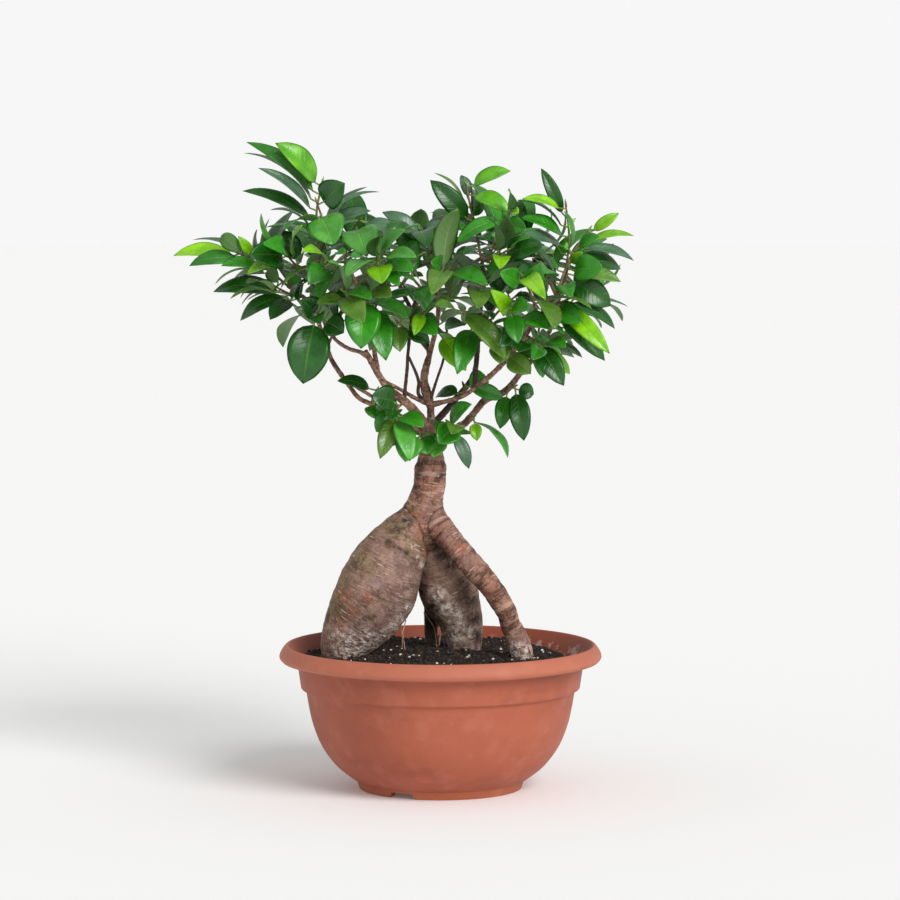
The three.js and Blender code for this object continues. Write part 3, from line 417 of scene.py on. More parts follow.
# Water has left a pale tide mark on the inner wall, and dust lies on the foot
tide = inner * height_here.mask(*TIDE_MARK) * here.grain(70, 5, 0.7).mask(0.5, 0.6)
tide = tide * (here.part(0) - BOWL_AXIS.x).mask(*TIDE_SIDE)
foot_dust = height_here.mask(*FOOT_DUST) * cloud.mask(0.35, 0.6)
clay = coats(cloud.between(0.3, 0.7, (152, 76, 52), (172, 91, 66)), [
    (smear.mask(0.5, 0.72) * 0.4, (132, 65, 45)),
    (here.grain(48, 4).mask(0.5, 0.7) * 0.3, (190, 114, 92)),
    # Painted highlight on the lip where light falls on the rim, with its worn, dusty paleness
    (height_here.mask(*LIP_HIGHLIGHT_AND_WEAR) * 0.45, (202, 124, 98)),
    # Painted shade: the inner wall darker and redder than the outside
    (inner * 0.7, (136, 56, 32)),
    (tide * 0.75, (205, 185, 165)),
    (foot_dust * 0.35, (176, 112, 70)),
    (speck.mask(0.62, 0.72) * 0.12, (226, 166, 140)),
])
pot_bump = bump(speck, 0.00012, 0.35, bump(smear, 0.0006, 0.25))
feed(pot_shader, Base_Color=clay, Roughness=0.5 + smear * 0.18, Normal=pot_bump, Specular_IOR_Level=0.4)

pot = mesh_object("bowl", *turned(bowl_profile, BOWL_SEGMENTS), [pot_material])
for i in range(NOTCHES):
    angle = FIRST_NOTCH_ANGLE + i / NOTCHES * math.tau
    out = outwards(angle)
    across = Vector((-out.y, out.x, 0))
    start = BOWL_AXIS + out * (FOOT_RADIUS - NOTCH_DEPTH + NOTCH_OVERSHOOT) * MM
    corners = [(-0.5, -1, 1), (0.5, -1, 1), (0.5, NOTCH_HEIGHT, 0), (-0.5, NOTCH_HEIGHT, 0)]
    outline = [
        start + across * side * (NOTCH_WIDTH + 2 * NOTCH_FLARE * flare) * MM + Vector((0, 0, rise * MM))
        for side, rise, flare in corners
    ]
    cut(pot, outline, out * NOTCH_DEPTH * MM)
for i in range(DRAIN_HOLES):
    middle = BOWL_AXIS + outwards((i + 0.5) / DRAIN_HOLES * math.tau) * DRAIN_HOLE_CIRCLE * MM
    outline = [
        middle + outwards(k / DRAIN_HOLE_SIDES * math.tau) * DRAIN_HOLE_RADIUS * MM + Vector((0, 0, -MM))
        for k in range(DRAIN_HOLE_SIDES)
    ]
    cut(pot, outline, Vector((0, 0, DRAIN_CUT_LENGTH * MM)))
inner_side = []
for v in pot.data.vertices:
    from_axis = (v.co - BOWL_AXIS).xy.length / MM
    inner_side.append(float(v.co.z > floor_top * MM and from_axis < wall_radius(v.co.z / MM) + WALL / 2))
give(pot, "inner", inner_side)
pot.data.shade_smooth()
pot.data.set_sharp_from_angle(angle=SMOOTH_UP_TO)
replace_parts(pot, "pot")
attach(pot, "root")


# The soil: dark moist potting mix, heaped a little under the roots. Crumbs, bark fibres and white
# perlite lie loose on it, scattered by rule.
SOIL_LEVEL = 113.5
SOIL_MOUND = 6
SOIL_MOUND_SPREAD = 78
SOIL_MOUND_MIDDLE = (-10, 5)
SOIL_LOW_SIDE = 5
SOIL_LOW_SIDE_BETWEEN = (70, 115)
SOIL_BACK_RISE = 2.5
SOIL_BACK_RISE_BETWEEN = (50, 110)
SOIL_GAP = 0.5
SOIL_RINGS = 90
SOIL_SEGMENTS = 220
LUMP_SIZE = 11
LUMP_HEIGHT = 2.2
LUMP_SMOOTHNESS = 0.8
LUMP_FINER = 2.1
LUMP_LAYERS = 3
CRUMB_SIZE = 3.6
CRUMB_HEIGHT = 1.5
ROUGH_SOIL_SINK = 0.6
GRAIN_PATCH_SCALE = 52.0
GRAIN_PATCH_GAIN = 1.7
LEAST_FACING_UP = 0.55
GRAIN_SHAKE_SCALE = 900
GRAIN_SHAKE = 1.2


def smoothstep(value, low, high):
    t = min(max((value - low) / (high - low), 0), 1)
    return t * t * (3 - 2 * t)


def soil_height(x, y):
    """Height in mm at a place in mm from the bowl's axis."""
    from_mound = math.hypot(x - SOIL_MOUND_MIDDLE[0], y - SOIL_MOUND_MIDDLE[1]) / SOIL_MOUND_SPREAD
    mound = SOIL_MOUND * math.exp(-from_mound * from_mound)
    low_side = SOIL_LOW_SIDE * smoothstep(x, *SOIL_LOW_SIDE_BETWEEN)
    back_rise = SOIL_BACK_RISE * smoothstep(y, *SOIL_BACK_RISE_BETWEEN)
    return SOIL_LEVEL + mound - low_side + back_rise


def rough_soil_height(x, y):
    lumps = noise.fractal(Vector((x, y, 3)) / LUMP_SIZE, LUMP_SMOOTHNESS, LUMP_FINER, LUMP_LAYERS)
    crumbs = abs(noise.noise(Vector((x, y, 9)) / CRUMB_SIZE)) * CRUMB_HEIGHT
    return soil_height(x, y) + lumps * LUMP_HEIGHT + crumbs - ROUGH_SOIL_SINK


soil_edge = BAND_RADIUS - WALL - SOIL_GAP
soil_profile = [(0, floor_top + SOIL_GAP), (FLOOR_RADIUS - 1, floor_top + SOIL_GAP)]
soil_profile += [(r - SOIL_GAP, z) for r, z in inside]
soil_profile.append((soil_edge, band_top - 1))
side_rings = len(soil_profile) - 1
soil_profile += [(soil_edge * (1 - i / SOIL_RINGS), SOIL_LEVEL) for i in range(SOIL_RINGS + 1)]
soil_points, soil_faces = turned(soil_profile, SOIL_SEGMENTS)
for i in range(1 + side_rings * SOIL_SEGMENTS, len(soil_points)):
    x, y = (soil_points[i] - BOWL_AXIS).xy / MM
    soil_points[i].z = rough_soil_height(x, y) * MM

soil_material, soil_shader, here = new_material("potting_mix")
clods = here.grain(160, 6, 0.65)
fibres = here.stretched((900, 260, 400)).grain(1, 3)
earth = coats(clods.between(0.35, 0.7, (11, 8, 6), (44, 34, 26)), [
    (fibres.mask(0.62, 0.7) * 0.6, (92, 70, 50)),
    (here.cells(420).mask(0.16, 0.08), (6, 4, 3)),
])
feed(soil_shader, Base_Color=earth, Roughness=0.78 + clods * 0.2, Specular_IOR_Level=0.35)
feed(soil_shader, Normal=bump(clods + fibres * 0.4, 0.0016))
soil = mesh_object("soil_bed", soil_points, soil_faces, [soil_material])
soil.data.shade_smooth()
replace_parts(soil, "soil")
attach(soil, "root")


def two_tone(name, mottle, fade, dark, light, roughness, relief=None):
    """A material between two colours. Mottle is a noise's scale and detail; relief adds its depth."""
    material, shader, here = new_material(name)
    feed(shader, Base_Color=here.grain(*mottle).between(*fade, dark, light), Roughness=roughness)
    if relief:
        scale, detail, depth = relief
        feed(shader, Normal=bump(here.grain(scale, detail), depth))
    return material


def scatter(name, ground, material, amount, smallest, largest, seed, flatness, patchiness):
    """Loose grains on the top of the ground, by Geometry Nodes: more of them where a noise is high."""
    tree = bpy.data.node_groups.new(name, "GeometryNodeTree")
    tree.interface.new_socket("Geometry", in_out="INPUT", socket_type="NodeSocketGeometry")
    sizes = {}
    for label, value in (("Amount", amount), ("Smallest", smallest), ("Largest", largest), ("Seed", seed)):
        kind = "NodeSocketInt" if label == "Seed" else "NodeSocketFloat"
        sizes[label] = (tree.interface.new_socket(label, in_out="INPUT", socket_type=kind), value)
    tree.interface.new_socket("Geometry", in_out="OUTPUT", socket_type="NodeSocketGeometry")
    given = Flow(tree).node("NodeGroupInput")
    inputs = given.socket.node.outputs
    take = {label: Flow(tree, inputs[label]) for label in ("Geometry", *sizes)}
    place = given.node("GeometryNodeInputPosition")
    spread = {"Vector": place, "Scale": GRAIN_PATCH_SCALE, "Detail": 2.0}
    patch = given.node("ShaderNodeTexNoise", None, spread) * GRAIN_PATCH_GAIN
    facing = given.node("GeometryNodeInputNormal").part(2)
    dense = given.maths("POWER", patch, patchiness) * take["Amount"]
    dense = dense * given.maths("GREATER_THAN", facing, LEAST_FACING_UP)
    points = given.node("GeometryNodeDistributePointsOnFaces", {"distribute_method": "RANDOM"},
                        {"Mesh": take["Geometry"], "Density": dense, "Seed": take["Seed"]})
    grain = given.node("GeometryNodeMeshIcoSphere", None, {"Radius": 1.0, "Subdivisions": 1})
    flat = given.node("FunctionNodeRandomValue", {"data_type": "FLOAT_VECTOR"},
                      {0: (0.65, 0.65, flatness), 1: (1.5, 1.0, flatness * 1.5)})
    turn = given.node("FunctionNodeRandomValue", {"data_type": "FLOAT_VECTOR"},
                      {0: (-0.5, -0.5, 0.0), 1: (0.5, 0.5, math.tau)})
    size = given.node("FunctionNodeRandomValue", {"data_type": "FLOAT"},
                      {2: take["Smallest"], 3: take["Largest"]}, 1)
    scale = given.node("ShaderNodeVectorMath", {"operation": "SCALE"}, {0: flat, "Scale": size})
    set_out = given.node("GeometryNodeInstanceOnPoints", None,
                         {"Points": points, "Instance": grain, "Rotation": turn, "Scale": scale})
    loose = given.node("GeometryNodeRealizeInstances", None, {0: set_out})
    # Every grain is broken a little out of true
    shake = Flow(tree, place.grain(GRAIN_SHAKE_SCALE, 1).socket.node.outputs[1])
    shake = given.node("ShaderNodeVectorMath", {"operation": "SUBTRACT"}, {0: shake, 1: (0.5, 0.5, 0.5)})
    offset = given.node("ShaderNodeVectorMath", {"operation": "SCALE"},
                        {0: shake, "Scale": smallest * GRAIN_SHAKE})
    broken = given.node("GeometryNodeSetPosition", None, {"Geometry": loose, "Offset": offset})
    dressed = given.node("GeometryNodeSetMaterial", None, {"Geometry": broken, "Material": material})
    result = tree.nodes.new("NodeGroupOutput")
    tree.links.new(dressed.socket, result.inputs[0])
    made = bpy.data.objects.new(name, ground.data.copy())
    scene.collection.objects.link(made)
    modifier = made.modifiers.new(name, "NODES")
    modifier.node_group = tree
    for socket, value in sizes.values():
        modifier[socket.identifier] = value
    baked(made)
    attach(made, "root")


crumb = two_tone("soil_crumbs", (240, 3), (0.35, 0.68), (14, 10, 8), (70, 51, 38), 0.85, (2600, 2, 0.0003))
perlite = two_tone(
    "perlite", (420, 3), (0.3, 0.7), (196, 188, 176), (246, 244, 238), 0.9, (3000, 2, 0.0003))
fibre = two_tone("bark_fibres", (300, 3), (0.3, 0.7), (66, 43, 28), (140, 108, 74), 0.85)
scatter("soil_crumbs", soil, crumb, 75000.0, 0.0007, 0.0021, 11, 0.7, 1.0)
scatter("perlite_grains", soil, perlite, 5200.0, 0.0006, 0.0019, 23, 0.75, 7.0)
scatter("bark_fibres", soil, fibre, 5200.0, 0.0006, 0.0019, 31, 0.28, 1.0)


# The wood: swollen roots, a short trunk and branches that grew as one piece. The roots' skin is smooth
# and purple-grey with pale pores in short dashes across it, and flaking and chalky near the soil.
# A limb is a row of places with their radius in mm.
LIMBS = {
    "trunk": [
        (431, 440, 0, 8.6), (431, 457, 0, 10.8), (430.5, 470, 0, 13.6), (430, 484, 0, 13.8),
        (426, 499, 0, 14.6), (423, 513, 1, 17.8), (422, 532, 5, 19),
    ],
    "left_tuber": [
        (418, 513, 0, 11), (408, 528, -2, 17), (394, 554, -4, 28), (386, 569, -5, 32), (378, 588, -5, 35),
        (367.5, 607, -4, 33), (356, 624, -2, 27.5), (346, 640, 0, 22), (340, 655, 2, 16), (336, 680, 4, 8),
    ],
    "middle_tuber": [
        (432, 520, 6, 13), (434, 545, 14, 18), (440, 568, 20, 22.5), (448, 590, 24, 26),
        (459, 618, 26, 20.2), (464, 636, 27, 16.5), (471, 680, 26, 5),
    ],
    "right_root": [
        (430, 512, -2, 11), (440, 528, -8, 11.5), (453, 544, -14, 10.8), (471, 564, -18, 10.4),
        (489, 585, -20, 9.8), (505, 609, -20, 9), (510, 624, -18, 8.8), (516, 637, -16, 9.8),
        (521, 650, -14, 9.8), (525, 685, -10, 5),
    ],
    "back_root": [
        (428, 540, 18, 10), (428, 570, 38, 9), (431, 600, 46, 6.5), (431, 630, 50, 6), (431, 678, 52, 4),
    ],
    "rear_root": [
        (415, 530, 18, 14), (391, 563, 44, 13), (374, 600, 62, 11.5), (367, 635, 68, 10), (372, 672, 62, 5),
    ],
    "leader": [
        (431, 448, 0, 7.6), (431.5, 433, 0, 4), (432, 424, 0, 3.2), (431, 411, 0, 2.8), (429, 402, 0, 3.8),
        (425.5, 391, 2, 3.9), (424, 380, 4, 3.3), (426, 367, 7, 3.3), (430, 353, 11, 2.3),
        (438, 315, 14, 2), (436, 285, 12, 1.8), (430, 262, 8, 1.7),
    ],
    "right_upper": [
        (430, 405, 0, 2.8), (443, 402, -8, 2.1), (463, 396, -16, 1.9), (476, 387, -20, 1.9),
        (490, 376, -25, 2.3), (506, 360, -28, 2.2), (522, 340, -30, 2), (538, 318, -28, 1.9),
        (556, 296, -24, 1.7),
    ],
    "right_lower": [
        (433, 441, 2, 4.8), (450, 434, 10, 3.8), (464, 424, 17, 3.2), (474, 413, 22, 2.9),
        (484, 401, 28, 3.2), (493, 396, 31, 3.3), (504, 392, 34, 3), (520, 374, 41, 2.4),
        (538, 352, 48, 2.1), (552, 325, 52, 1.9), (560, 295, 50, 1.7),
    ],
    "left_upper": [
        (430, 430, -1, 4.2), (408, 404, -12, 3.7), (400, 398, -14, 3.6), (388, 388, -18, 3.1),
        (380, 377, -20, 2.9), (371, 361, -24, 2.7), (365, 351, -27, 2.2),
    ],
    "left_upper_tip": [
        (369, 357, -25, 2.2), (360, 352, -27, 1.8), (350, 349, -28, 1.7), (337, 341, -30, 1.6),
        (325, 325, -30, 1.6),
    ],
    "left_riser": [
        (377, 370, -22, 2.4), (375, 355, -21, 2), (372, 338, -20, 1.9), (368, 310, -16, 1.9),
        (357, 285, -10, 1.8), (345, 262, -6, 1.7),
    ],
    "left_lower": [
        (429, 436, 4, 4.6), (414, 424, 12, 3.3), (398, 416, 17, 2.7), (384, 411, 22, 2.4),
        (371, 404, 26, 2.1), (359, 398, 29, 2), (348, 384, 32, 2), (334, 364, 34, 2.1), (327, 349, 34, 2),
        (319, 324, 30, 1.9), (312, 300, 24, 1.8), (314, 278, 14, 1.7), (318, 262, 8, 1.7),
    ],
    "left_arm": [(315, 308, 26, 1.9), (302, 296, 24, 1.8), (288, 286, 20, 1.6)],
    "left_strand": [
        (390, 413, 20, 1.7), (381, 405, 23, 1.6), (371, 396, 26, 1.6), (358, 388, 29, 1.6),
        (345, 379, 32.5, 1.6),
    ],
    "middle_riser": [
        (404, 402, -13, 1.9), (405, 390, -9, 1.6), (407, 370, -6, 1.5), (408, 353, -4, 1.4),
        (411, 325, -2, 1.6), (414, 305, -4, 1.6), (423, 290, -6, 1.5),
    ],
    "middle_strand": [(425, 402, 1, 1.6), (418.5, 394, -1, 1.6), (418.5, 381, -2, 1.5), (409, 357, -4, 1.1)],
    "cross_strand": [
        (426, 403, 1, 1.8), (413, 397, -4, 1.8), (404, 391.5, -8, 1.6), (383, 380.5, -19.5, 1.5),
    ],
    "thin_riser": [(431, 398, -1, 1.4), (436, 382, -4, 1.2), (444, 357, -8, 1.1), (447, 330, -12, 1.1)],
    "right_riser": [
        (475, 387.5, -20.5, 2.2), (475.5, 372, -16, 2.2), (477.5, 352, -11, 2), (480, 314, 0, 1.8),
        (484, 285, 6, 1.8), (482, 262, 9, 1.7),
    ],
    "back_left": [
        (431, 425, 4, 3.4), (430, 400, 36, 3), (425, 378, 58, 2.4), (429, 352, 78, 2.2), (415, 318, 94, 2),
        (400, 287, 104, 1.8),
    ],
    "back_right": [
        (433, 425, 3, 3.2), (454, 401, 36, 2.8), (474, 374, 60, 2.4), (479, 335, 80, 2.1),
        (496, 298, 95, 1.8),
    ],
}
LENGTH_STEPS = 200
SAMPLE_STEP = 1.5
LIMB_SIDE = Vector((0.3, 1, 0.2))
JOIN_SOFTNESS = 1.5
CREASE_WIDTH = 0.9
CREASE_DEPTH = 0.7
SKIN_VOXEL = 1.1
SKIN_PULLS = 3
LOFT_SIDES = 16
# How each thick limb's skin is ringed: depth and spacing of the rings in mm
RINGING = {
    "trunk": (0.8, 4.2),
    "left_tuber": (0.34, 5.5),
    "middle_tuber": (0.5, 6.0),
    "right_root": (0.75, 5.2),
    "back_root": (0.5, 5.0),
    "rear_root": (0.5, 5.0),
}
RING_BREADTH = 26
RING_WAVE_SIZE = 9
RING_WAVE = 0.64
SWELL_SIZE = 24
SWELL_HEIGHT = 0.9
GRIT_SIZE = 3.1
GRIT_HEIGHT = 0.22
FLAKE_SIZE = 2.2
FLAKE_HEIGHT = 1.4
CRACK_SIZE = 5.5
CRACK_REACH = 0.25
CRACK_DEPTH = 3.6
REDDISH_LIMBS = ["trunk", "right_root"]
SHADED_LIMBS = ["back_root", "rear_root"]
CHALK_AT_SOIL = 0.55
CHALK_RISE = 8
PATCH_FALLOFF = 1.2
PLACES_AT_ONCE = 4000
PATTERN_SHIFT = 0.37
# Patches on the skin that the photograph shows: across, down and reach in pixels
PATCHES = {
    "chalk": [
        (341, 640, 11), (352, 644, 14), (366, 640, 11), (345, 652, 10), (375, 644, 8), (385, 636, 6),
        (394, 627, 5), (402, 618, 5), (408, 608, 4.5), (438, 596, 9), (446, 608, 10), (458, 620, 11),
        (468, 630, 10), (455, 636, 8), (516, 650, 9), (524, 652, 8), (417, 556, 2.5), (421, 565, 3),
        (413, 546, 2.5),
    ],
    # Dark patches: cracks in the skin, and painted shade in the gaps between tubers and roots
    "dark": [
        (410, 522, 5), (404, 521, 4), (387, 541, 3.5), (393, 545, 3), (400, 549, 3), (407, 553, 3),
        (397, 530, 5), (435, 545, 7), (443, 556, 8), (451, 566, 7), (470, 600, 8), (475, 618, 8),
        (478, 636, 6), (464, 585, 8), (431, 622, 10), (431, 608, 8), (417, 474, 4), (421, 592, 5),
        (424, 575, 4), (427, 540, 4), (364, 619, 3), (499, 622, 4), (486, 602, 3), (418, 465, 5),
        (441, 476, 4), (415, 487, 4), (425, 480, 3),
    ],
    # Moss, and painted shade along the left tuber's left edge, in dark olive
    "moss_and_shade": [
        (397, 531, 10), (388, 526, 7), (405, 541, 8), (331, 611, 9), (326, 636, 7), (340, 580, 10),
        (334, 596, 9), (362, 560, 10), (436, 572, 6), (462, 634, 5), (480, 566, 6), (414, 510, 6),
    ],
    "rust": [
        (346, 597, 8), (341, 626, 7), (352, 612, 6), (422, 538, 6), (425, 552, 5), (420, 528, 6),
        (437, 530, 7), (461, 548, 7), (493, 594, 7), (471, 643, 6), (448, 512, 5), (426, 486, 7),
        (368, 598, 7), (418, 514, 6),
    ],
    "purple": [
        (401, 565, 14), (408, 584, 12), (398, 601, 12), (388, 616, 10), (378, 584, 9), (377, 628, 8),
        (443, 556, 8), (430, 497, 6), (352, 630, 7), (505, 612, 6),
    ],
}


class SmoothLine:
    """A smooth line through places, with an even pace along it."""

    def __init__(self, places):
        self.places = places
        points = [self.at(i / LENGTH_STEPS) for i in range(LENGTH_STEPS + 1)]
        self.lengths = [0.0]
        for a, b in zip(points, points[1:]):
            self.lengths.append(self.lengths[-1] + (b - a).length)

    def at(self, t):
        places = self.places
        count = len(places)
        place = (count - 1) * t
        at = int(place)
        share = place - at
        if at == count - 1:
            at = count - 2
            share = 1.0
        p1, p2 = places[at], places[at + 1]
        p0 = places[at - 1] if at > 0 else p1 * 2 - p2
        p3 = places[at + 2] if at + 2 < count else p2 * 2 - p1
        d0, d1, d2 = ((b - a).length ** 0.5 for a, b in ((p0, p1), (p1, p2), (p2, p3)))
        t1 = ((p1 - p0) / d0 - (p2 - p0) / (d0 + d1) + (p2 - p1) / d1) * d1
        t2 = ((p2 - p1) / d1 - (p3 - p1) / (d1 + d2) + (p3 - p2) / d2) * d1
        square = (p2 - p1) * 3 - t1 * 2 - t2
        cube = (p1 - p2) * 2 + t1 + t2
        return p1 + t1 * share + square * share ** 2 + cube * share ** 3

    def pace(self, share):
        """How far through the places a share of the length lies, from 0 to 1."""
        target = share * self.lengths[-1]
        low = 0
        while low < LENGTH_STEPS - 1 and self.lengths[low + 1] <= target:
            low += 1
        span = self.lengths[low + 1] - self.lengths[low]
        return (low + (target - self.lengths[low]) / span) / LENGTH_STEPS

    def along(self, share):
        return self.at(self.pace(share))

    def evenly(self, steps):
        """Places along the line in even steps."""
        return [self.along(i / steps) for i in range(steps + 1)]


class Rod:
    """A row of centres, each with a radius and with a frame that doesn't twist from one to the next."""

    def __init__(self, centres, radii, side):
        self.centres = centres
        self.radii = radii
        self.frames = []
        last = len(centres) - 1
        for i in range(last + 1):
            tangent = (centres[min(i + 1, last)] - centres[max(i - 1, 0)]).normalized()
            side = (side - tangent * side.dot(tangent)).normalized()
            self.frames.append((tangent, side.copy(), tangent.cross(side)))


class Limb(Rod):
    """A limb's middle line, sampled in even steps."""

    def __init__(self, line, step=SAMPLE_STEP):
        curve = SmoothLine([place_of(*place[:3]) for place in line])
        self.length = curve.lengths[-1]
        count = max(int(self.length / (step * MM)), 4)
        radii = []
        for i in range(count + 1):
            place = curve.pace(i / count) * (len(line) - 1)
            before = min(int(place), len(line) - 2)
            low, high = line[before][3], line[before + 1][3]
            radii.append((low + (high - low) * (place - before)) * MM)
        super().__init__(curve.evenly(count), radii, LIMB_SIDE)


def tube(rod, sides, radius_at=None):
    """Points and faces of a closed tube along a rod; radius_at gives another radius by sample and angle."""
    points = []
    for i, (centre, (_, side, other)) in enumerate(zip(rod.centres, rod.frames)):
        for k in range(sides):
            angle = k / sides * math.tau
            out = side * math.cos(angle) + other * math.sin(angle)
            points.append(centre + out * (radius_at(i, angle) if radius_at else rod.radii[i]))
    faces = []
    rings = len(rod.centres)
    for i in range(rings - 1):
        for k in range(sides):
            j = (k + 1) % sides
            faces.append((i * sides + k, i * sides + j, (i + 1) * sides + j, (i + 1) * sides + k))
    faces.append(tuple(reversed(range(sides))))
    faces.append(tuple(range((rings - 1) * sides, rings * sides)))
    return points, faces


def joined(shapes):
    """The points and faces of several shapes as those of one."""
    all_points = []
    all_faces = []
    for points, faces in shapes:
        all_faces += [tuple(index + len(all_points) for index in face) for face in faces]
        all_points += points
    return all_points, all_faces


thick = {name: Limb(LIMBS[name]) for name in RINGING}
limb_names = list(thick)
roots = mesh_object("roots_and_trunk", *joined(tube(limb, LOFT_SIDES) for limb in thick.values()), [])
remesh = roots.modifiers.new("skin", "REMESH")
remesh.mode = "VOXEL"
remesh.voxel_size = SKIN_VOXEL * MM
baked(roots)


def nearest_limbs(places):
    """For every place: its distance outside each limb, and the nearest sample of that limb."""
    distances = np.empty((len(places), len(thick)))
    samples = np.empty((len(places), len(thick)), int)
    for column, limb in enumerate(thick.values()):
        centres = np.array(limb.centres)
        radii = np.array(limb.radii)
        for start in range(0, len(places), PLACES_AT_ONCE):
            some = places[start:start + PLACES_AT_ONCE]
            away = np.linalg.norm(some[:, None] - centres[None], axis=2) - radii[None]
            best = away.argmin(axis=1)
            samples[start:start + PLACES_AT_ONCE, column] = best
            distances[start:start + PLACES_AT_ONCE, column] = away[np.arange(len(some)), best]
    return distances, samples


# The joined limbs' skin is pulled to a soft blend of their round shapes
skin = np.array([v.co for v in roots.data.vertices])
softness = JOIN_SOFTNESS * MM
for _ in range(SKIN_PULLS):
    distances, samples = nearest_limbs(skin)
    closest = distances.min(axis=1, keepdims=True)
    weights = np.exp(-(distances - closest) / softness)
    total = weights.sum(axis=1, keepdims=True)
    field = closest[:, 0] - softness * np.log(total[:, 0])
    pull = np.zeros_like(skin)
    for column, limb in enumerate(thick.values()):
        out = skin - np.array(limb.centres)[samples[:, column]]
        out /= np.linalg.norm(out, axis=1, keepdims=True) + 1e-9
        pull += out * (weights / total)[:, column:column + 1]
    pull /= np.linalg.norm(pull, axis=1, keepdims=True) + 1e-9
    skin -= pull * field[:, None]

skin_pixels = pixels_of(skin)
to_camera = np.array(camera.location) - skin
to_camera /= np.linalg.norm(to_camera, axis=1, keepdims=True)
facing_camera = np.clip((pull * to_camera).sum(axis=1) * 3 + 0.8, 0, 1)


def patch_strength(patches):
    """How strongly each place of the skin lies in any of the patches, 0 to 1."""
    strength = np.zeros(len(skin))
    for across, down, reach in patches:
        away = np.linalg.norm(skin_pixels - (across, down), axis=1) / reach
        strength = np.maximum(strength, np.exp(-away * away * PATCH_FALLOFF))
    return strength * facing_camera


# Where on its limb each place of the skin grew: along it, and off its middle line in two directions
nearest = distances.argmin(axis=1)
grown = np.zeros((len(skin), 3))
for column, limb in enumerate(thick.values()):
    mine = nearest == column
    sample = samples[mine, column]
    frames = np.array([[tuple(v) for v in frame_axes] for frame_axes in limb.frames])[sample]
    offset = skin[mine] - np.array(limb.centres)[sample]
    run = sample / (len(limb.centres) - 1) * limb.length + (offset * frames[:, 0]).sum(axis=1)
    grown[mine, 0] = run + column * PATTERN_SHIFT
    grown[mine, 1] = (offset * frames[:, 1]).sum(axis=1)
    grown[mine, 2] = (offset * frames[:, 2]).sum(axis=1)

masks = {name: patch_strength(patches) for name, patches in PATCHES.items()}
over_soil = np.array([
    z - soil_height(x, y) * MM
    for x, y, z in zip((skin[:, 0] - BOWL_AXIS.x) / MM, (skin[:, 1] - BOWL_AXIS.y) / MM, skin[:, 2])
])
soil_chalk = CHALK_AT_SOIL * np.exp(-np.clip(over_soil, 0, 1) / (CHALK_RISE * MM))
masks["chalk"] = np.clip(masks["chalk"] + soil_chalk, 0, 1)
# Where two limbs meet, their skins dip into a crease, painted dark as shade
by_distance = np.sort(distances, axis=1)
masks["crease"] = np.exp(-(by_distance[:, 1] - by_distance[:, 0]) / (CREASE_WIDTH * MM))
for name, limbs in (("reddish", REDDISH_LIMBS), ("shaded", SHADED_LIMBS)):
    masks[name] = np.isin(nearest, [limb_names.index(limb) for limb in limbs]).astype(float)

lift = np.zeros(len(skin))
for i, (place, local) in enumerate(zip(skin, grown)):
    depth, spacing = RINGING[limb_names[nearest[i]]]
    spot = Vector(place) / MM
    wave = noise.noise(spot / RING_WAVE_SIZE) * RING_WAVE
    along, side, other = local / MM
    ring = noise.noise(Vector((along / spacing + wave, side / RING_BREADTH, other / RING_BREADTH))) * depth
    swell = noise.noise(spot / SWELL_SIZE) * SWELL_HEIGHT
    grit = noise.noise(spot / GRIT_SIZE) * GRIT_HEIGHT
    flake = max(noise.noise(spot / FLAKE_SIZE), 0) * FLAKE_HEIGHT * masks["chalk"][i]
    crack = max(CRACK_REACH - abs(noise.noise(spot / CRACK_SIZE)), 0) * CRACK_DEPTH * masks["dark"][i]
    lift[i] = (ring + swell + grit + flake - crack - CREASE_DEPTH * masks["crease"][i]) * MM
skin += pull * lift[:, None]
roots.data.vertices.foreach_set("co", skin.astype(np.float32).ravel())
roots.data.update()
for name, values in masks.items():
    give(roots, name, values)
give(roots, "grown", grown, "FLOAT_VECTOR")

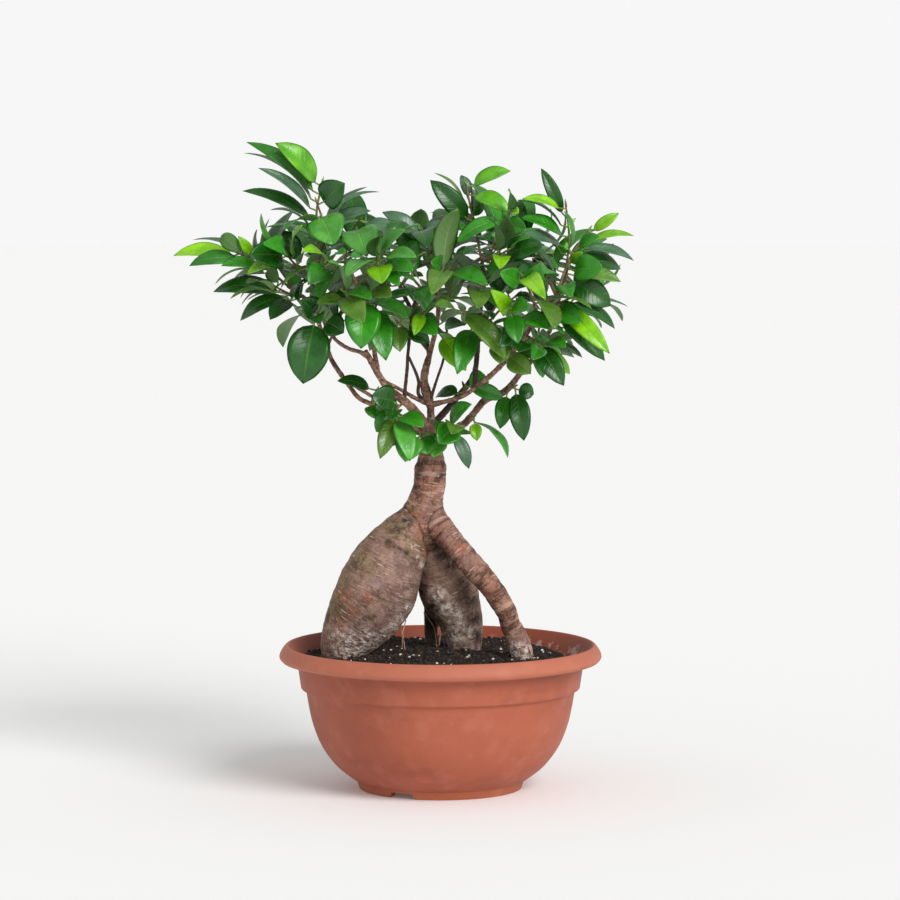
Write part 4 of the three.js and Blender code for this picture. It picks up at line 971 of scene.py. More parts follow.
skin_material, skin_shader, here = new_material("root_skin")
along = here.read("grown", "Vector")
broad = here.grain(30, 4)
blotch = here.grain(110, 4, 0.65)
fine = here.grain(480, 4, 0.7)
wrinkles = along.stretched((620, 70, 70)).grain(1, 5, 0.65)
seams = along.stretched((170, 28, 28)).grain(1, 4, 0.6)
purple = here.read("purple")
reddish = here.read("reddish")
pores = along.stretched((330, 46, 46)).cells(1).mask(0.24, 0.14)
pores = pores * here.grain(45, 3).mask(0.42, 0.54) * (1 - 0.6 * purple)
chalk = here.read("chalk") * here.grain(260, 5, 0.75).mask(0.38, 0.52)
# Near-black cracks, and painted shade in the gaps between tubers and roots
cracks_and_shade = here.read("dark") * here.grain(170, 5, 0.75).mask(0.6, 0.48)
red_bark = coats(blotch.between(0.36, 0.64, (96, 58, 42), (170, 120, 98)), [
    (broad.mask(0.46, 0.62) * 0.6, (154, 114, 106)),
])
bark = coats(broad.between(0.36, 0.64, (98, 70, 54), (148, 114, 98)), [
    (blotch.mask(0.44, 0.64) * 0.6, (176, 142, 126)),
    (here.grain(46, 3).mask(0.5, 0.66) * 0.5, (112, 92, 54)),
    (purple * 0.75, blotch.between(0.35, 0.7, (114, 86, 82), (162, 134, 130))),
    (reddish * 0.9, red_bark),
    (here.read("rust") * blotch.mask(0.34, 0.52) * 0.75, (158, 92, 58)),
    (wrinkles.mask(0.54, 0.68) * (0.7 - 0.45 * purple), (70, 48, 38)),
    (wrinkles.mask(0.44, 0.32) * 0.4, (204, 172, 154)),
    (seams.mask(0.56, 0.66) * (0.3 + 0.45 * reddish), (54, 35, 28)),
    (seams.mask(0.46, 0.36) * (0.15 + 0.5 * reddish), (206, 166, 144)),
    (pores * 0.8, (222, 190, 176)),
    (fine.mask(0.56, 0.68) * 0.5, (206, 176, 158)),
    (fine.mask(0.44, 0.34) * 0.5, (54, 38, 30)),
    # Moss, and painted shade on the left tuber's left edge
    (here.read("moss_and_shade") * here.grain(95, 4).mask(0.36, 0.56) * 0.7,
     here.grain(260, 3).between(0.4, 0.6, (62, 58, 28), (146, 126, 76))),
    (chalk * 0.95, here.grain(220, 3).between(0.4, 0.6, (178, 150, 134), (246, 236, 226))),
    (cracks_and_shade * 0.9, (26, 18, 14)),
    # Painted shade: the creases where limbs meet are darkened
    (here.read("crease") * here.grain(80, 4).mask(0.4, 0.62) * 0.8, (40, 26, 19)),
    (here.read("shaded") * 0.7, (46, 32, 27)),
])
skin_bump = bump(wrinkles * -1.0 + fine * 0.5 + blotch * 0.8 - seams * 0.6 * reddish, 0.0016, 0.9)
skin_bump = bump(pores + chalk * here.grain(600, 3) - cracks_and_shade, 0.0009, 0.8, skin_bump)
feed(skin_shader, Base_Color=bark, Roughness=0.5 + fine * 0.35, Normal=skin_bump, Specular_IOR_Level=0.4)
roots.data.materials.clear()
roots.data.materials.append(skin_material)
roots.data.shade_smooth()
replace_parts(roots, "wood")
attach(roots, "root")


# The branches: pruned limbs of grey-brown and reddish bark, one with the trunk. They swell where they
# leave it and at the scars of old leaves, and those behind and inside the crown are painted darker, as shade.
BRANCH_SIDES = 12
BRANCH_STEP = 1.6
COLLAR_LENGTH = 6
COLLAR_SWELL = 0.22
KNOT_SPACING = 11
KNOT_SWELL = 0.1
KNOT_SHARPNESS = 6
ROUGH_LENGTH = 2.5
ROUGH_DRIFT = 40
ROUGH_SWELL = 0.14
BRANCH_PATTERN_SHIFT = 0.53
# Branches painted darker, as shade inside and behind the crown
DARK_BRANCHES = ["middle_riser", "middle_strand", "thin_riser", "right_riser", "back_left", "back_right"]


def branch_radius(branch, run, order):
    """The radius of a branch by sample and angle; run is how far along it each sample lies, in mm."""

    def radius_at(i, angle):
        collar = 1 + COLLAR_SWELL * math.exp(-run[i] / COLLAR_LENGTH)
        knot = max(math.cos(run[i] / KNOT_SPACING * math.tau + order), 0) ** KNOT_SHARPNESS
        around = Vector((run[i] / ROUGH_LENGTH, 2 * math.cos(angle), 2 * math.sin(angle)))
        rough = 1 + ROUGH_SWELL * noise.noise(around + branch.centres[i] / MM / ROUGH_DRIFT)
        return branch.radii[i] * collar * (1 + KNOT_SWELL * knot) * rough

    return radius_at


branch_tubes = []
branch_runs = []
branch_shaded = []
for order, (name, line) in enumerate(LIMBS.items()):
    if name in thick:
        continue
    branch = Limb(line, BRANCH_STEP)
    last = len(branch.centres) - 1
    run = [i / last * branch.length / MM for i in range(last + 1)]
    branch_tubes.append(tube(branch, BRANCH_SIDES, branch_radius(branch, run, order)))
    for along in run:
        branch_runs += [(along * MM + order * BRANCH_PATTERN_SHIFT, 0, 0)] * BRANCH_SIDES
        branch_shaded += [float(name in DARK_BRANCHES)] * BRANCH_SIDES

branch_material, branch_shader, here = new_material("branch_bark")
along = here.read("grown", "Vector").part(0)
blotch = here.grain(190, 4, 0.7)
fine = here.grain(620, 4, 0.7)
around = {"W": along * 330 + blotch * 4, "Scale": 1.0}
ringed = here.node("ShaderNodeTexNoise", {"noise_dimensions": "1D"}, around)
bark = coats(here.grain(60, 4).between(0.38, 0.62, (110, 74, 58), (164, 124, 102)), [
    (ringed.mask(0.52, 0.62) * 0.65, (64, 42, 33)),
    (blotch.mask(0.5, 0.64) * 0.7, (204, 170, 148)),
    (fine.mask(0.44, 0.34) * 0.5, (58, 40, 31)),
    (here.read("shaded") * 0.8, (48, 35, 29)),
])
feed(branch_shader, Base_Color=bark, Roughness=0.55 + fine * 0.3, Specular_IOR_Level=0.4)
feed(branch_shader, Normal=bump(fine * 0.7 + ringed * 1.2 + blotch, 0.0011, 0.9))
branches = mesh_object("branches", *joined(branch_tubes), [branch_material])
give(branches, "grown", branch_runs, "FLOAT_VECTOR")
give(branches, "shaded", branch_shaded)
branches.data.shade_smooth()
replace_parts(branches, "wood")
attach(branches, "root")


# Rootlets: thin pale roots with a smooth skin. They grow from the tubers' undersides and hang down
# into the soil.
ROOTLETS = [
    [(426, 606, 26, 0.9), (432, 614, 22, 0.8), (438, 622, 18, 0.7), (440, 632, 16, 0.6), (439, 646, 16, 0.5)],
    [(424, 612, 30, 0.7), (428, 618, 28, 0.6), (434, 628, 30, 0.5), (437, 648, 30, 0.4)],
    [(401, 628, -6, 0.6), (403, 636, -10, 0.5), (405, 650, -12, 0.4)],
    [(406, 620, -2, 0.6), (403, 632, -6, 0.5), (402, 648, -8, 0.4)],
    [(344, 655, -22, 0.8), (346, 661, -30, 0.7), (347, 668, -36, 0.5)],
    [(524, 640, -20, 0.8), (530, 650, -22, 0.7), (534, 662, -22, 0.5)],
]
ROOTLET_SIDES = 7
ROOTLET_STEP = 1.2
rootlet_material = two_tone(
    "rootlet_skin", (300, 3), (0.35, 0.65), (150, 96, 74), (204, 164, 142), 0.7, (1500, 2, 0.0003))
rootlet_tubes = [tube(Limb(line, ROOTLET_STEP), ROOTLET_SIDES) for line in ROOTLETS]
rootlets = mesh_object("rootlets", *joined(rootlet_tubes), [rootlet_material])
rootlets.data.shade_smooth()
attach(rootlets, "root")


# The leafy twigs: young green shoots with stalked, glossy oval leaves. The shape of each leaf follows
# its solid: the rule that placed it there is repeated here, and the solid's own points show its turn.
STEM_RADII = (1.3, 0.85)
STEM_SIDES = 8
STEM_STEP = 3
STALK_SIDE = Vector((0.4, 0.3, 0.9))
BUD_LENGTH = 7
BUD_RADIUS = 1.15
# Shares of the bud's length and radius
BUD_SHAPE = [(-0.1, 0.9), (0.25, 1.0), (0.55, 0.7), (0.8, 0.4), (1.0, 0.05)]
PETIOLE_LENGTH = 7
PETIOLE_RADII = (0.85, 0.65)
PETIOLE_OUTWARDS = 0.5
PETIOLE_BEND = 0.55
PETIOLE_END = 0.06
PETIOLE_STEPS = 5
PETIOLE_SIDES = 7
LEAF_LENGTH = 49
LEAF_WIDTH_RATIO = 0.46
LEAF_FOLD = 0.2
LEAF_ARCH = 0.14
LEAF_HALF_THICKNESS = 0.3
LEAF_STATIONS = 14
LEAF_COLUMNS = 8
# The blade's outline: how round its base and how slim its tip is, the peak of that curve, and how far
# the tip is drawn out between two places along the blade
BASE_ROUNDNESS = 0.62
TIP_SLIMNESS = 0.82
OUTLINE_PEAK = 0.3737
TIP_DRAWN_OUT = 0.25
TIP_DRAWN_BETWEEN = (0.88, 0.98)
TIP_CROWDING = 0.015
NARROWEST = 0.045
FOLD_CURVE = 1.25
EDGE_CURL = 0.035
EDGE_WAVE = 0.03
EDGE_WAVE_PACE = 11
MIDRIB_GROOVE = 0.25
MIDRIB_HEIGHT = 0.45
RULE_TURNS = [0, 40, -40, 80, -80, 120, -120, 160]
RULE_SCALES = [1, 0.86, 0.72]
PLACED_SHIFTS = [0, -5, 5, -10, 10, -15, 15, -20]
PLACED_WIDTHS = [1, 0.85, 0.7]
TRIES = len(RULE_TURNS) * len(RULE_SCALES)
# A corner of the solid's blade: its place along the blade and its share of the width
PLACED_CORNER = (0.45, 1)
RULE_CORNER = (0.28, 0.92)
FIRST_LEAF = 0.34
LAST_LEAF = 0.97
LEAF_TURN = math.radians(137.5)
SEED = 1207
TURN_SPREAD = 0.9
OPEN_ANGLE = 1.15
TIP_ANGLE = 0.75
ANGLE_SPREAD = 0.25
LEAST_DROOP = 0.12
DROOP_SPREAD = 0.3
SHORTEST_LEAF = 0.82
LENGTH_SPREAD = 0.32
WIDTH_SPREAD = 0.08
FACE_LEAN = 0.35
CROWN_MIDDLE_X = -30
CROWN_REACH = 260
UPRIGHT = 0.01
FOUND_WITHIN = 0.03 * MM
UP = Vector((0, -0.15, 1))
HALF = Vector((0, -0.75, 0.8))
FRONT = Vector((0, -1, 0.25))
LIME = colour(132, 198, 12)
FRESH = colour(92, 168, 20)
LIGHT = colour(82, 162, 58)
GREEN = colour(46, 136, 18)
DARK = colour(22, 90, 12)
OLIVE = colour(90, 132, 42)
# A grey-green painted sheen: the sky's reflection on leaves seen near edge-on
SHEEN_GREY = colour(74, 112, 84)
RULE_TONES = [GREEN, GREEN, DARK, GREEN, DARK, OLIVE, DARK, GREEN]
TONE_SPREAD = 0.3
RULE = None

# Every leafy twig: its stem's places, then its leaves from base to tip. A leaf is RULE or its tip's
# across, down and behind, its width, the way it faces and its tone.
TWIGS = [
    ("upper_left", [(318, 262, 8), (317, 236, 4), (317, 208, 0), (322, 184, -2)], [
        RULE, (270, 210, -12, 16, UP, SHEEN_GREY), (242, 191, 20, 17, HALF, DARK),
        (258, 168, -20, 13, HALF, SHEEN_GREY), (243, 153, 12, 14, UP, SHEEN_GREY), (246, 142, -4, 16, HALF, GREEN),
        (275, 143, -16, 25, HALF, FRESH)]),
    ("upper_left_right_side", [(318, 262, 8), (324, 236, -10), (322, 216, -22), (317, 203, -28)], [
        RULE, RULE, (371, 211, -30, 16, HALF, SHEEN_GREY), (380, 192, -10, 14, UP, SHEEN_GREY),
        (334, 246, -56, 34, FRONT, LIGHT), (345, 183, -46, 26, FRONT, DARK)]),
    ("upper_middle_left", [(345, 262, -6), (348, 240, -12), (360, 219, -24)], [
        RULE, RULE, (318, 243, -50, 20, HALF, DARK), (367, 257, -62, 34, FRONT, LIGHT),
        (400, 236, -30, 17, HALF, SHEEN_GREY)]),
    ("left_arm", [(288, 286, 20), (268, 270, 16), (250, 259, 12), (238, 253, 10)], [
        RULE, (221, 266, -16, 17, HALF, GREEN), (192, 240, 22, 17, UP, SHEEN_GREY),
        (238, 236, 0, 9, FRONT, LIME), (189, 266, -2, 18, HALF, GREEN), (173, 256, 10, 17, HALF, LIME)]),
    ("left_middle", [(314, 281, 15), (300, 268, -2), (289, 258, -18), (284, 250, -28)], [
        RULE, (283, 230, 0, 18, HALF, DARK), (246, 275, -62, 16, HALF, LIME),
        (303, 225, -44, 16, HALF, LIME), (248, 256, -52, 28, FRONT, DARK),
        (262, 244, -66, 19, FRONT, GREEN)]),
    ("left_low", [(302, 297, 24), (290, 294, 8), (276, 287, -6)], [
        (270, 320, -8, 18, HALF, DARK), (240, 321, 4, 18, HALF, DARK), (213, 292, 16, 22, HALF, DARK),
        (230, 299, -24, 14, UP, OLIVE), (246, 284, -40, 17, UP, OLIVE)]),
    ("left_hanging", [(325, 325, -30), (321, 318, -38), (315, 317, -44)], [
        RULE, (344, 333, -52, 22, FRONT, DARK), (300, 300, -60, 20, FRONT, DARK),
        (303, 384, -52, 37, FRONT, DARK)]),
    ("front_left", [(368, 310, -16), (367, 299, -40), (363, 292, -62)], [
        RULE, RULE, (361, 349, -72, 31, FRONT, GREEN), (392, 297, -78, 20, HALF, OLIVE)]),
    ("top_middle", [(430, 262, 8), (427, 245, 2), (420, 230, -4)], [
        RULE, RULE, (382, 212, 6, 18, HALF, SHEEN_GREY), (440, 220, 8, 13, UP, SHEEN_GREY),
        (391, 230, -26, 18, HALF, DARK), (428, 249, -40, 22, FRONT, DARK)]),
    ("middle_left", [(423, 290, -6), (408, 274, -22), (397, 266, -38)], [
        RULE, RULE, (427, 252, -34, 12, UP, LIME), (414, 262, -50, 14, UP, SHEEN_GREY),
        (384, 258, -46, 15, UP, OLIVE)]),
    ("peak", [(482, 262, 9), (476, 232, 8), (470, 205, 6), (466, 185, 4)], [
        (489, 241, -16, 16, HALF, GREEN), (440, 229, -10, 15, HALF, GREEN), (430, 180, 0, 19, FRONT, DARK),
        (450, 206, 24, 16, HALF, GREEN), (434, 173, 8, 11, UP, OLIVE), (461, 175, 16, 12, UP, SHEEN_GREY),
        (510, 213, -12, 19, HALF, FRESH), (511, 171, 2, 17, HALF, FRESH)]),
    ("peak_right", [(482, 262, 9), (497, 242, 2), (504, 222, -6), (512, 208, -12)], [
        RULE, RULE, (527, 229, -34, 20, FRONT, GREEN), (456, 244, -28, 17, HALF, GREEN),
        (519, 213, -22, 9, FRONT, LIME)]),
    ("right_top", [(560, 295, 50), (567, 262, 42), (569, 232, 32), (566, 206, 26)], [
        RULE, RULE, (505, 240, 2, 18, HALF, SHEEN_GREY), (520, 218, 16, 17, HALF, GREEN),
        (568, 222, 4, 16, FRONT, LIME), (541, 168, 30, 12, FRONT, DARK), (522, 199, 18, 12, HALF, LIME)]),
    ("right_arm", [(556, 296, -24), (566, 268, -14), (576, 247, -6), (588, 231, 0)], [
        RULE, (583, 252, -30, 9, FRONT, LIME), (604, 286, -20, 18, HALF, GREEN),
        (600, 237, -24, 17, HALF, GREEN), (634, 261, 6, 12, HALF, SHEEN_GREY), (634, 236, 4, 9, HALF, LIME),
        (619, 213, -4, 10, FRONT, LIME)]),
    ("right_side", [(556, 296, -24), (564, 282, -36), (568, 268, -46)], [
        RULE, (571, 298, -78, 18, FRONT, GREEN), (611, 306, -42, 24, FRONT, DARK),
        (621, 282, -50, 17, HALF, OLIVE), (604, 268, -68, 24, FRONT, GREEN)]),
    ("right_low", [(540, 316, -28), (552, 306, -40), (566, 300, -50)], [
        RULE, (583, 323, -74, 22, FRONT, GREEN), (605, 361, -58, 19, FRONT, DARK),
        (610, 354, -76, 17, FRONT, LIME), (615, 329, -34, 16, HALF, DARK)]),
    ("lower_right_hanging", [(505, 392, 34), (510, 388, 22), (515, 386, 12)], [
        (500, 429, 12, 16, FRONT, GREEN), (534, 394, 22, 15, FRONT, DARK), (524, 441, 2, 19, FRONT, DARK)]),
    ("right_upper_branch", [(506, 361, -28), (503, 349, -38), (500, 340, -48)], [
        (531, 374, -50, 20, FRONT, OLIVE), (480, 322, -58, 18, HALF, OLIVE),
        (500, 364, -66, 19, FRONT, OLIVE)]),
    ("right_lower_spray", [(526, 335, -30), (534, 340, -42), (541, 344, -52)], [
        (518, 352, -52, 18, HALF, GREEN), (543, 378, -40, 13, HALF, GREEN),
        (564, 386, -62, 20, FRONT, DARK), (570, 374, -52, 12, FRONT, LIME),
        (566, 348, -74, 16, HALF, GREEN)]),
    ("low_left", [(404, 402, -13), (398, 408, -24), (394, 415, -34)], [
        (371, 396, -40, 25, FRONT, DARK), (376, 432, -30, 18, FRONT, GREEN),
        (380, 459, -42, 17, FRONT, OLIVE), (424, 428, -56, 18, HALF, GREEN)]),
    ("trunk_top_left", [(430, 441, -4), (419, 432, -20), (413, 428, -30)], [
        (398, 424, -40, 16, HALF, GREEN), (428, 455, -38, 20, FRONT, GREEN),
        (405, 462, -48, 25, FRONT, LIGHT)]),
    ("trunk_top_right", [(433, 441, -3), (448, 430, -18), (458, 424, -28)], [
        (433, 458, -40, 17, FRONT, LIGHT), (472, 404, -32, 20, HALF, GREEN),
        (469, 469, -26, 13, HALF, SHEEN_GREY), (438, 444, -52, 24, FRONT, GREEN)]),
    ("low_right", [(469, 418, 20), (471, 416, 8), (474, 416, 0)], [
        RULE, (477, 441, -8, 11, FRONT, LIME)]),
    ("left_lower_branch", [(371, 404, 26), (374, 396, 16), (377, 390, 8)], [
        (378, 420, 4, 20, HALF, GREEN), (398, 412, -6, 18, FRONT, GREEN), (337, 381, 2, 15, HALF, DARK)]),
    ("along_the_right_branch", [(463, 397, -16), (464, 390, -6), (463, 384, 6)], [
        (436, 397, 12, 17, HALF, DARK), (486, 376, 18, 18, FRONT, GREEN), (503, 398, 10, 20, FRONT, GREEN)]),
    ("centre_bright", [(437, 322, 14), (437, 328, 0), (438, 332, -12)], [
        RULE, (412, 330, -34, 13, HALF, LIME), (466, 371, -26, 21, FRONT, LIME)]),
    ("centre", [(411, 325, -2), (418, 314, -18), (424, 308, -30)], [
        RULE, (437, 336, -52, 22, FRONT, GREEN), (452, 300, -50, 17, HALF, OLIVE),
        (434, 286, -56, 20, FRONT, GREEN), (414, 336, -50, 12, FRONT, LIME)]),
    ("centre_left", [(409, 335, -3), (402, 326, -14), (396, 320, -24)], [
        (378, 338, -22, 18, HALF, OLIVE), (430, 343, -38, 20, FRONT, DARK),
        (400, 306, -50, 20, HALF, OLIVE), (400, 352, -44, 18, FRONT, OLIVE)]),
    ("front_middle_left", [(357, 285, -10), (370, 272, -40), (376, 264, -64), (378, 260, -80)], [
        RULE, RULE, RULE, (350, 258, -92, 15, HALF, GREEN), (414, 272, -90, 22, HALF, GREEN),
        (382, 284, -108, 23, FRONT, LIME)]),
    ("front_middle", [(436, 285, 12), (442, 274, -20), (448, 268, -52)], [
        RULE, RULE, (430, 262, -66, 20, FRONT, GREEN), (488, 286, -70, 20, HALF, GREEN),
        (432, 296, -90, 22, HALF, OLIVE)]),
    ("front_centre_right", [(483, 290, 5), (482, 284, -24), (480, 280, -50)], [
        RULE, (478, 310, -84, 24, FRONT, OLIVE), (508, 262, -60, 16, HALF, GREEN)]),
    ("front_right_low", [(522, 340, -30), (514, 318, -54), (508, 304, -76)], [
        RULE, RULE, (550, 330, -92, 21, HALF, GREEN), (490, 289, -104, 15, FRONT, LIME),
        (518, 344, -92, 18, FRONT, GREEN), (530, 310, -108, 17, FRONT, GREEN)]),
    ("front_right", [(538, 318, -28), (530, 292, -54), (522, 276, -74)], [
        RULE, RULE, (541, 262, -88, 19, FRONT, GREEN), (499, 272, -92, 19, FRONT, GREEN),
        (546, 300, -128, 18, FRONT, LIME)]),
    ("front_right_high", [(482, 262, 9), (498, 256, -26), (508, 250, -50)], [
        RULE, RULE, (545, 245, -62, 22, FRONT, DARK), (500, 270, -78, 16, FRONT, LIME),
        (530, 238, -70, 15, HALF, GREEN)]),
    ("front_upper_left", [(345, 262, -6), (334, 262, -36), (326, 262, -62)], [
        RULE, RULE, (302, 252, -76, 17, HALF, LIME), (308, 285, -84, 22, FRONT, GREEN),
        (346, 254, -88, 15, HALF, GREEN)]),
    ("front_low_left", [(368, 310, -16), (352, 300, -46), (342, 290, -70)], [
        RULE, (316, 304, -60, 16, HALF, OLIVE), (328, 262, -104, 17, HALF, LIGHT),
        (372, 300, -100, 18, HALF, GREEN)]),
    ("front_centre_low", [(479, 331, -5), (468, 318, -36), (460, 308, -58)], [
        RULE, (445, 330, -56, 15, HALF, SHEEN_GREY), (434, 306, -76, 17, HALF, OLIVE),
        (506, 360, -60, 21, HALF, OLIVE)]),
    ("back_left_high", [(400, 287, 104), (386, 262, 118), (372, 246, 128)], [RULE] * 6),
    ("back_middle_high", [(400, 287, 104), (416, 262, 110), (430, 246, 112)], [RULE] * 6),
    ("back_middle", [(411, 309, 97), (440, 286, 122), (452, 274, 136)], [RULE] * 6),
    ("back_left_low", [(429, 352, 78), (404, 322, 98), (388, 306, 116)], [RULE] * 5),
    ("back_right_high", [(496, 298, 95), (492, 262, 106), (488, 238, 112)], [RULE] * 6),
    ("back_right", [(496, 298, 95), (522, 272, 110), (540, 256, 118)], [RULE] * 6),
    ("back_right_low", [(481, 331, 82), (502, 308, 104), (518, 294, 124)], [RULE] * 5),
    ("far_right", [(552, 325, 52), (570, 304, 76), (580, 290, 94)], [RULE] * 6),
    ("right_behind", [(560, 295, 50), (544, 262, 66), (536, 242, 76)], [RULE] * 6),
    ("far_left_low", [(319, 324, 30), (306, 310, 60), (296, 298, 84)], [RULE] * 6),
    ("far_left_high", [(312, 300, 24), (324, 274, 56), (334, 256, 80)], [RULE] * 6),
    ("top_behind", [(430, 262, 8), (444, 252, 34), (452, 246, 54)], [RULE] * 5),
    ("upper_left_behind", [(345, 262, -6), (358, 252, 22), (368, 244, 44)], [RULE] * 6),
    ("inner_left", [(370, 322, -18), (378, 300, 4), (384, 282, 22)], [RULE] * 4),
    ("inner_middle", [(438, 310, 14), (450, 290, 24), (456, 272, 30)], [RULE] * 4),
    ("inner_right", [(479, 328, -4), (496, 306, 12), (506, 288, 22)], [RULE] * 5),
    ("inner_right_side", [(538, 350, 48), (540, 322, 26), (546, 304, 12)], [RULE] * 5),
    ("inner_left_side", [(327, 348, 34), (338, 322, 28), (346, 304, 22)], [RULE] * 5),
    ("upper_right_front", [(556, 296, -24), (546, 274, -34), (540, 258, -40)], [RULE] * 4),
    ("middle_right_behind", [(484, 285, 6), (506, 262, 22), (520, 250, 32)], [RULE] * 5),
]


def random_from(seed):
    """The same draws from 0 to 1 as the solids were made with."""
    whole = 0xFFFFFFFF
    state = seed & whole

    def draw():
        nonlocal state
        state = (state + 0x6D2B79F5) & whole
        mixed = ((state ^ (state >> 15)) * (state | 1)) & whole
        mixed = (((mixed + (((mixed ^ (mixed >> 7)) * (mixed | 61)) & whole)) & whole) ^ mixed) & whole
        return (mixed ^ (mixed >> 14)) / (whole + 1)

    return draw


def leaf_places(stem, leaves, index):
    """The stem's places, and for each leaf: its row, its share of the stem, its root, the stem's
    direction there and its draws."""
    draw = random_from(SEED + index)
    sections = len(stem) - 1
    centres = SmoothLine([place_of(*place) for place in stem]).evenly(sections)
    found = []
    for i, leaf in enumerate(leaves):
        share = i / (len(leaves) - 1)
        along_stem = (FIRST_LEAF + (LAST_LEAF - FIRST_LEAF) * share) * sections
        before = int(along_stem)
        root = centres[before].lerp(centres[before + 1], along_stem - before)
        tangent = (centres[before + 1] - centres[before]).normalized()
        found.append((leaf, share, root, tangent, [draw() for _ in range(4)]))
    return centres, found


def rule_leaf(place, i, attempt):
    """The way out from the stem, the tip, the width and the face of a leaf that follows the rule."""
    _, share, root, tangent, draw = place
    turn = math.radians(RULE_TURNS[attempt % len(RULE_TURNS)])
    scale = RULE_SCALES[attempt // len(RULE_TURNS)]
    level = Vector((0, 0, 1)).cross(tangent)
    sideways = Vector((1, 0, 0)) if level.length_squared < UPRIGHT else level.normalized()
    other = tangent.cross(sideways)
    angle = i * LEAF_TURN + draw[0] * TURN_SPREAD + turn
    out = sideways * math.cos(angle) + other * math.sin(angle)
    spread = OPEN_ANGLE + (TIP_ANGLE - OPEN_ANGLE) * share + ANGLE_SPREAD * (draw[1] - 0.5)
    aim = tangent * math.cos(spread) + out * math.sin(spread)
    aim.z -= LEAST_DROOP + DROOP_SPREAD * draw[2]
    aim.normalize()
    length = LEAF_LENGTH * MM * scale * (SHORTEST_LEAF + LENGTH_SPREAD * draw[3])
    tip = root + aim * (PETIOLE_LENGTH * MM + length)
    from_axis = (root - BOWL_AXIS) / MM
    from_middle = Vector((from_axis.x - CROWN_MIDDLE_X, from_axis.y, 0)) / CROWN_REACH
    face = UP + from_middle + out * FACE_LEAN
    width = length * (LEAF_WIDTH_RATIO + WIDTH_SPREAD * (draw[1] - 0.5))
    return out, tip, width, face


def placed_leaf(place, attempt):
    """The same of a leaf that stands where the photograph shows it."""
    leaf, _, root, tangent, _ = place
    across, down, behind, width, face, _ = leaf
    tip = place_of(across, down, behind + PLACED_SHIFTS[attempt % len(PLACED_SHIFTS)])
    to_tip = tip - root
    out = (to_tip - tangent * to_tip.dot(tangent)).normalized()
    return out, tip, width * MM * PLACED_WIDTHS[attempt // len(PLACED_SHIFTS)], face


class Leaf:
    """A leaf's stalk and the middle line, side and width of its blade."""

    def __init__(self, root, out, tip, width, face):
        to_tip = (tip - root).normalized()
        self.root = root
        self.petiole = (out * PETIOLE_OUTWARDS + to_tip).normalized()
        self.base = root + self.petiole * PETIOLE_LENGTH * MM
        self.tip = tip
        chord = tip - self.base
        along_blade = chord.normalized()
        upper = (face - along_blade * face.dot(along_blade)).normalized()
        self.side = along_blade.cross(upper).normalized()
        self.control = (self.base + tip) / 2 + upper * 2 * LEAF_ARCH * chord.length
        self.width = width

    def middle(self, t):
        return self.base.lerp(self.control, t).lerp(self.control.lerp(self.tip, t), t)

    def above(self, t):
        """The direction square to the blade's upper face."""
        direction = (self.control - self.base).lerp(self.tip - self.control, t).normalized()
        return self.side.cross(direction).normalized()

    def corner(self, t, share):
        """The solid's own edge point at a place along the blade, to tell which width it kept."""
        half = share * self.width / 2
        return self.middle(t) + self.above(t) * half * LEAF_FOLD + self.side * half


def kept_leaf(place, i, solid_points):
    """The first try whose tip and corner are points of the solid, or None if the leaf was left out."""
    placed = place[0] is not RULE
    corner = PLACED_CORNER if placed else RULE_CORNER
    for attempt in range(TRIES):
        aim = placed_leaf(place, attempt) if placed else rule_leaf(place, i, attempt)
        leaf = Leaf(place[2], *aim)
        wanted = [leaf.tip, leaf.corner(*corner)]
        if all(np.abs(solid_points - np.array(p)).max(axis=1).min() < FOUND_WITHIN for p in wanted):
            return leaf
    return None


def blade_share(t):
    """The blade's width along it, as a share of the widest: widest before the middle, slim at the tip."""
    oval = t ** BASE_ROUNDNESS * (1 - t) ** TIP_SLIMNESS / OUTLINE_PEAK
    return oval * (1 - TIP_DRAWN_OUT * smoothstep(t, *TIP_DRAWN_BETWEEN))


class Parts:
    """Points, faces, materials, colours and places on the blade, gathered for one mesh."""

    def __init__(self):
        self.points = []
        self.faces = []
        self.materials = []
        self.tones = []
        self.blade = []

    def add(self, shape, material, tone, blade=None):
        points, faces = shape
        start = len(self.points)
        self.points += points
        self.faces += [tuple(start + index for index in face) for face in faces]
        self.materials += [material] * len(faces)
        self.tones += [tone] * len(points)
        self.blade += blade or [(0.0, 0.0, 0.0)] * len(points)


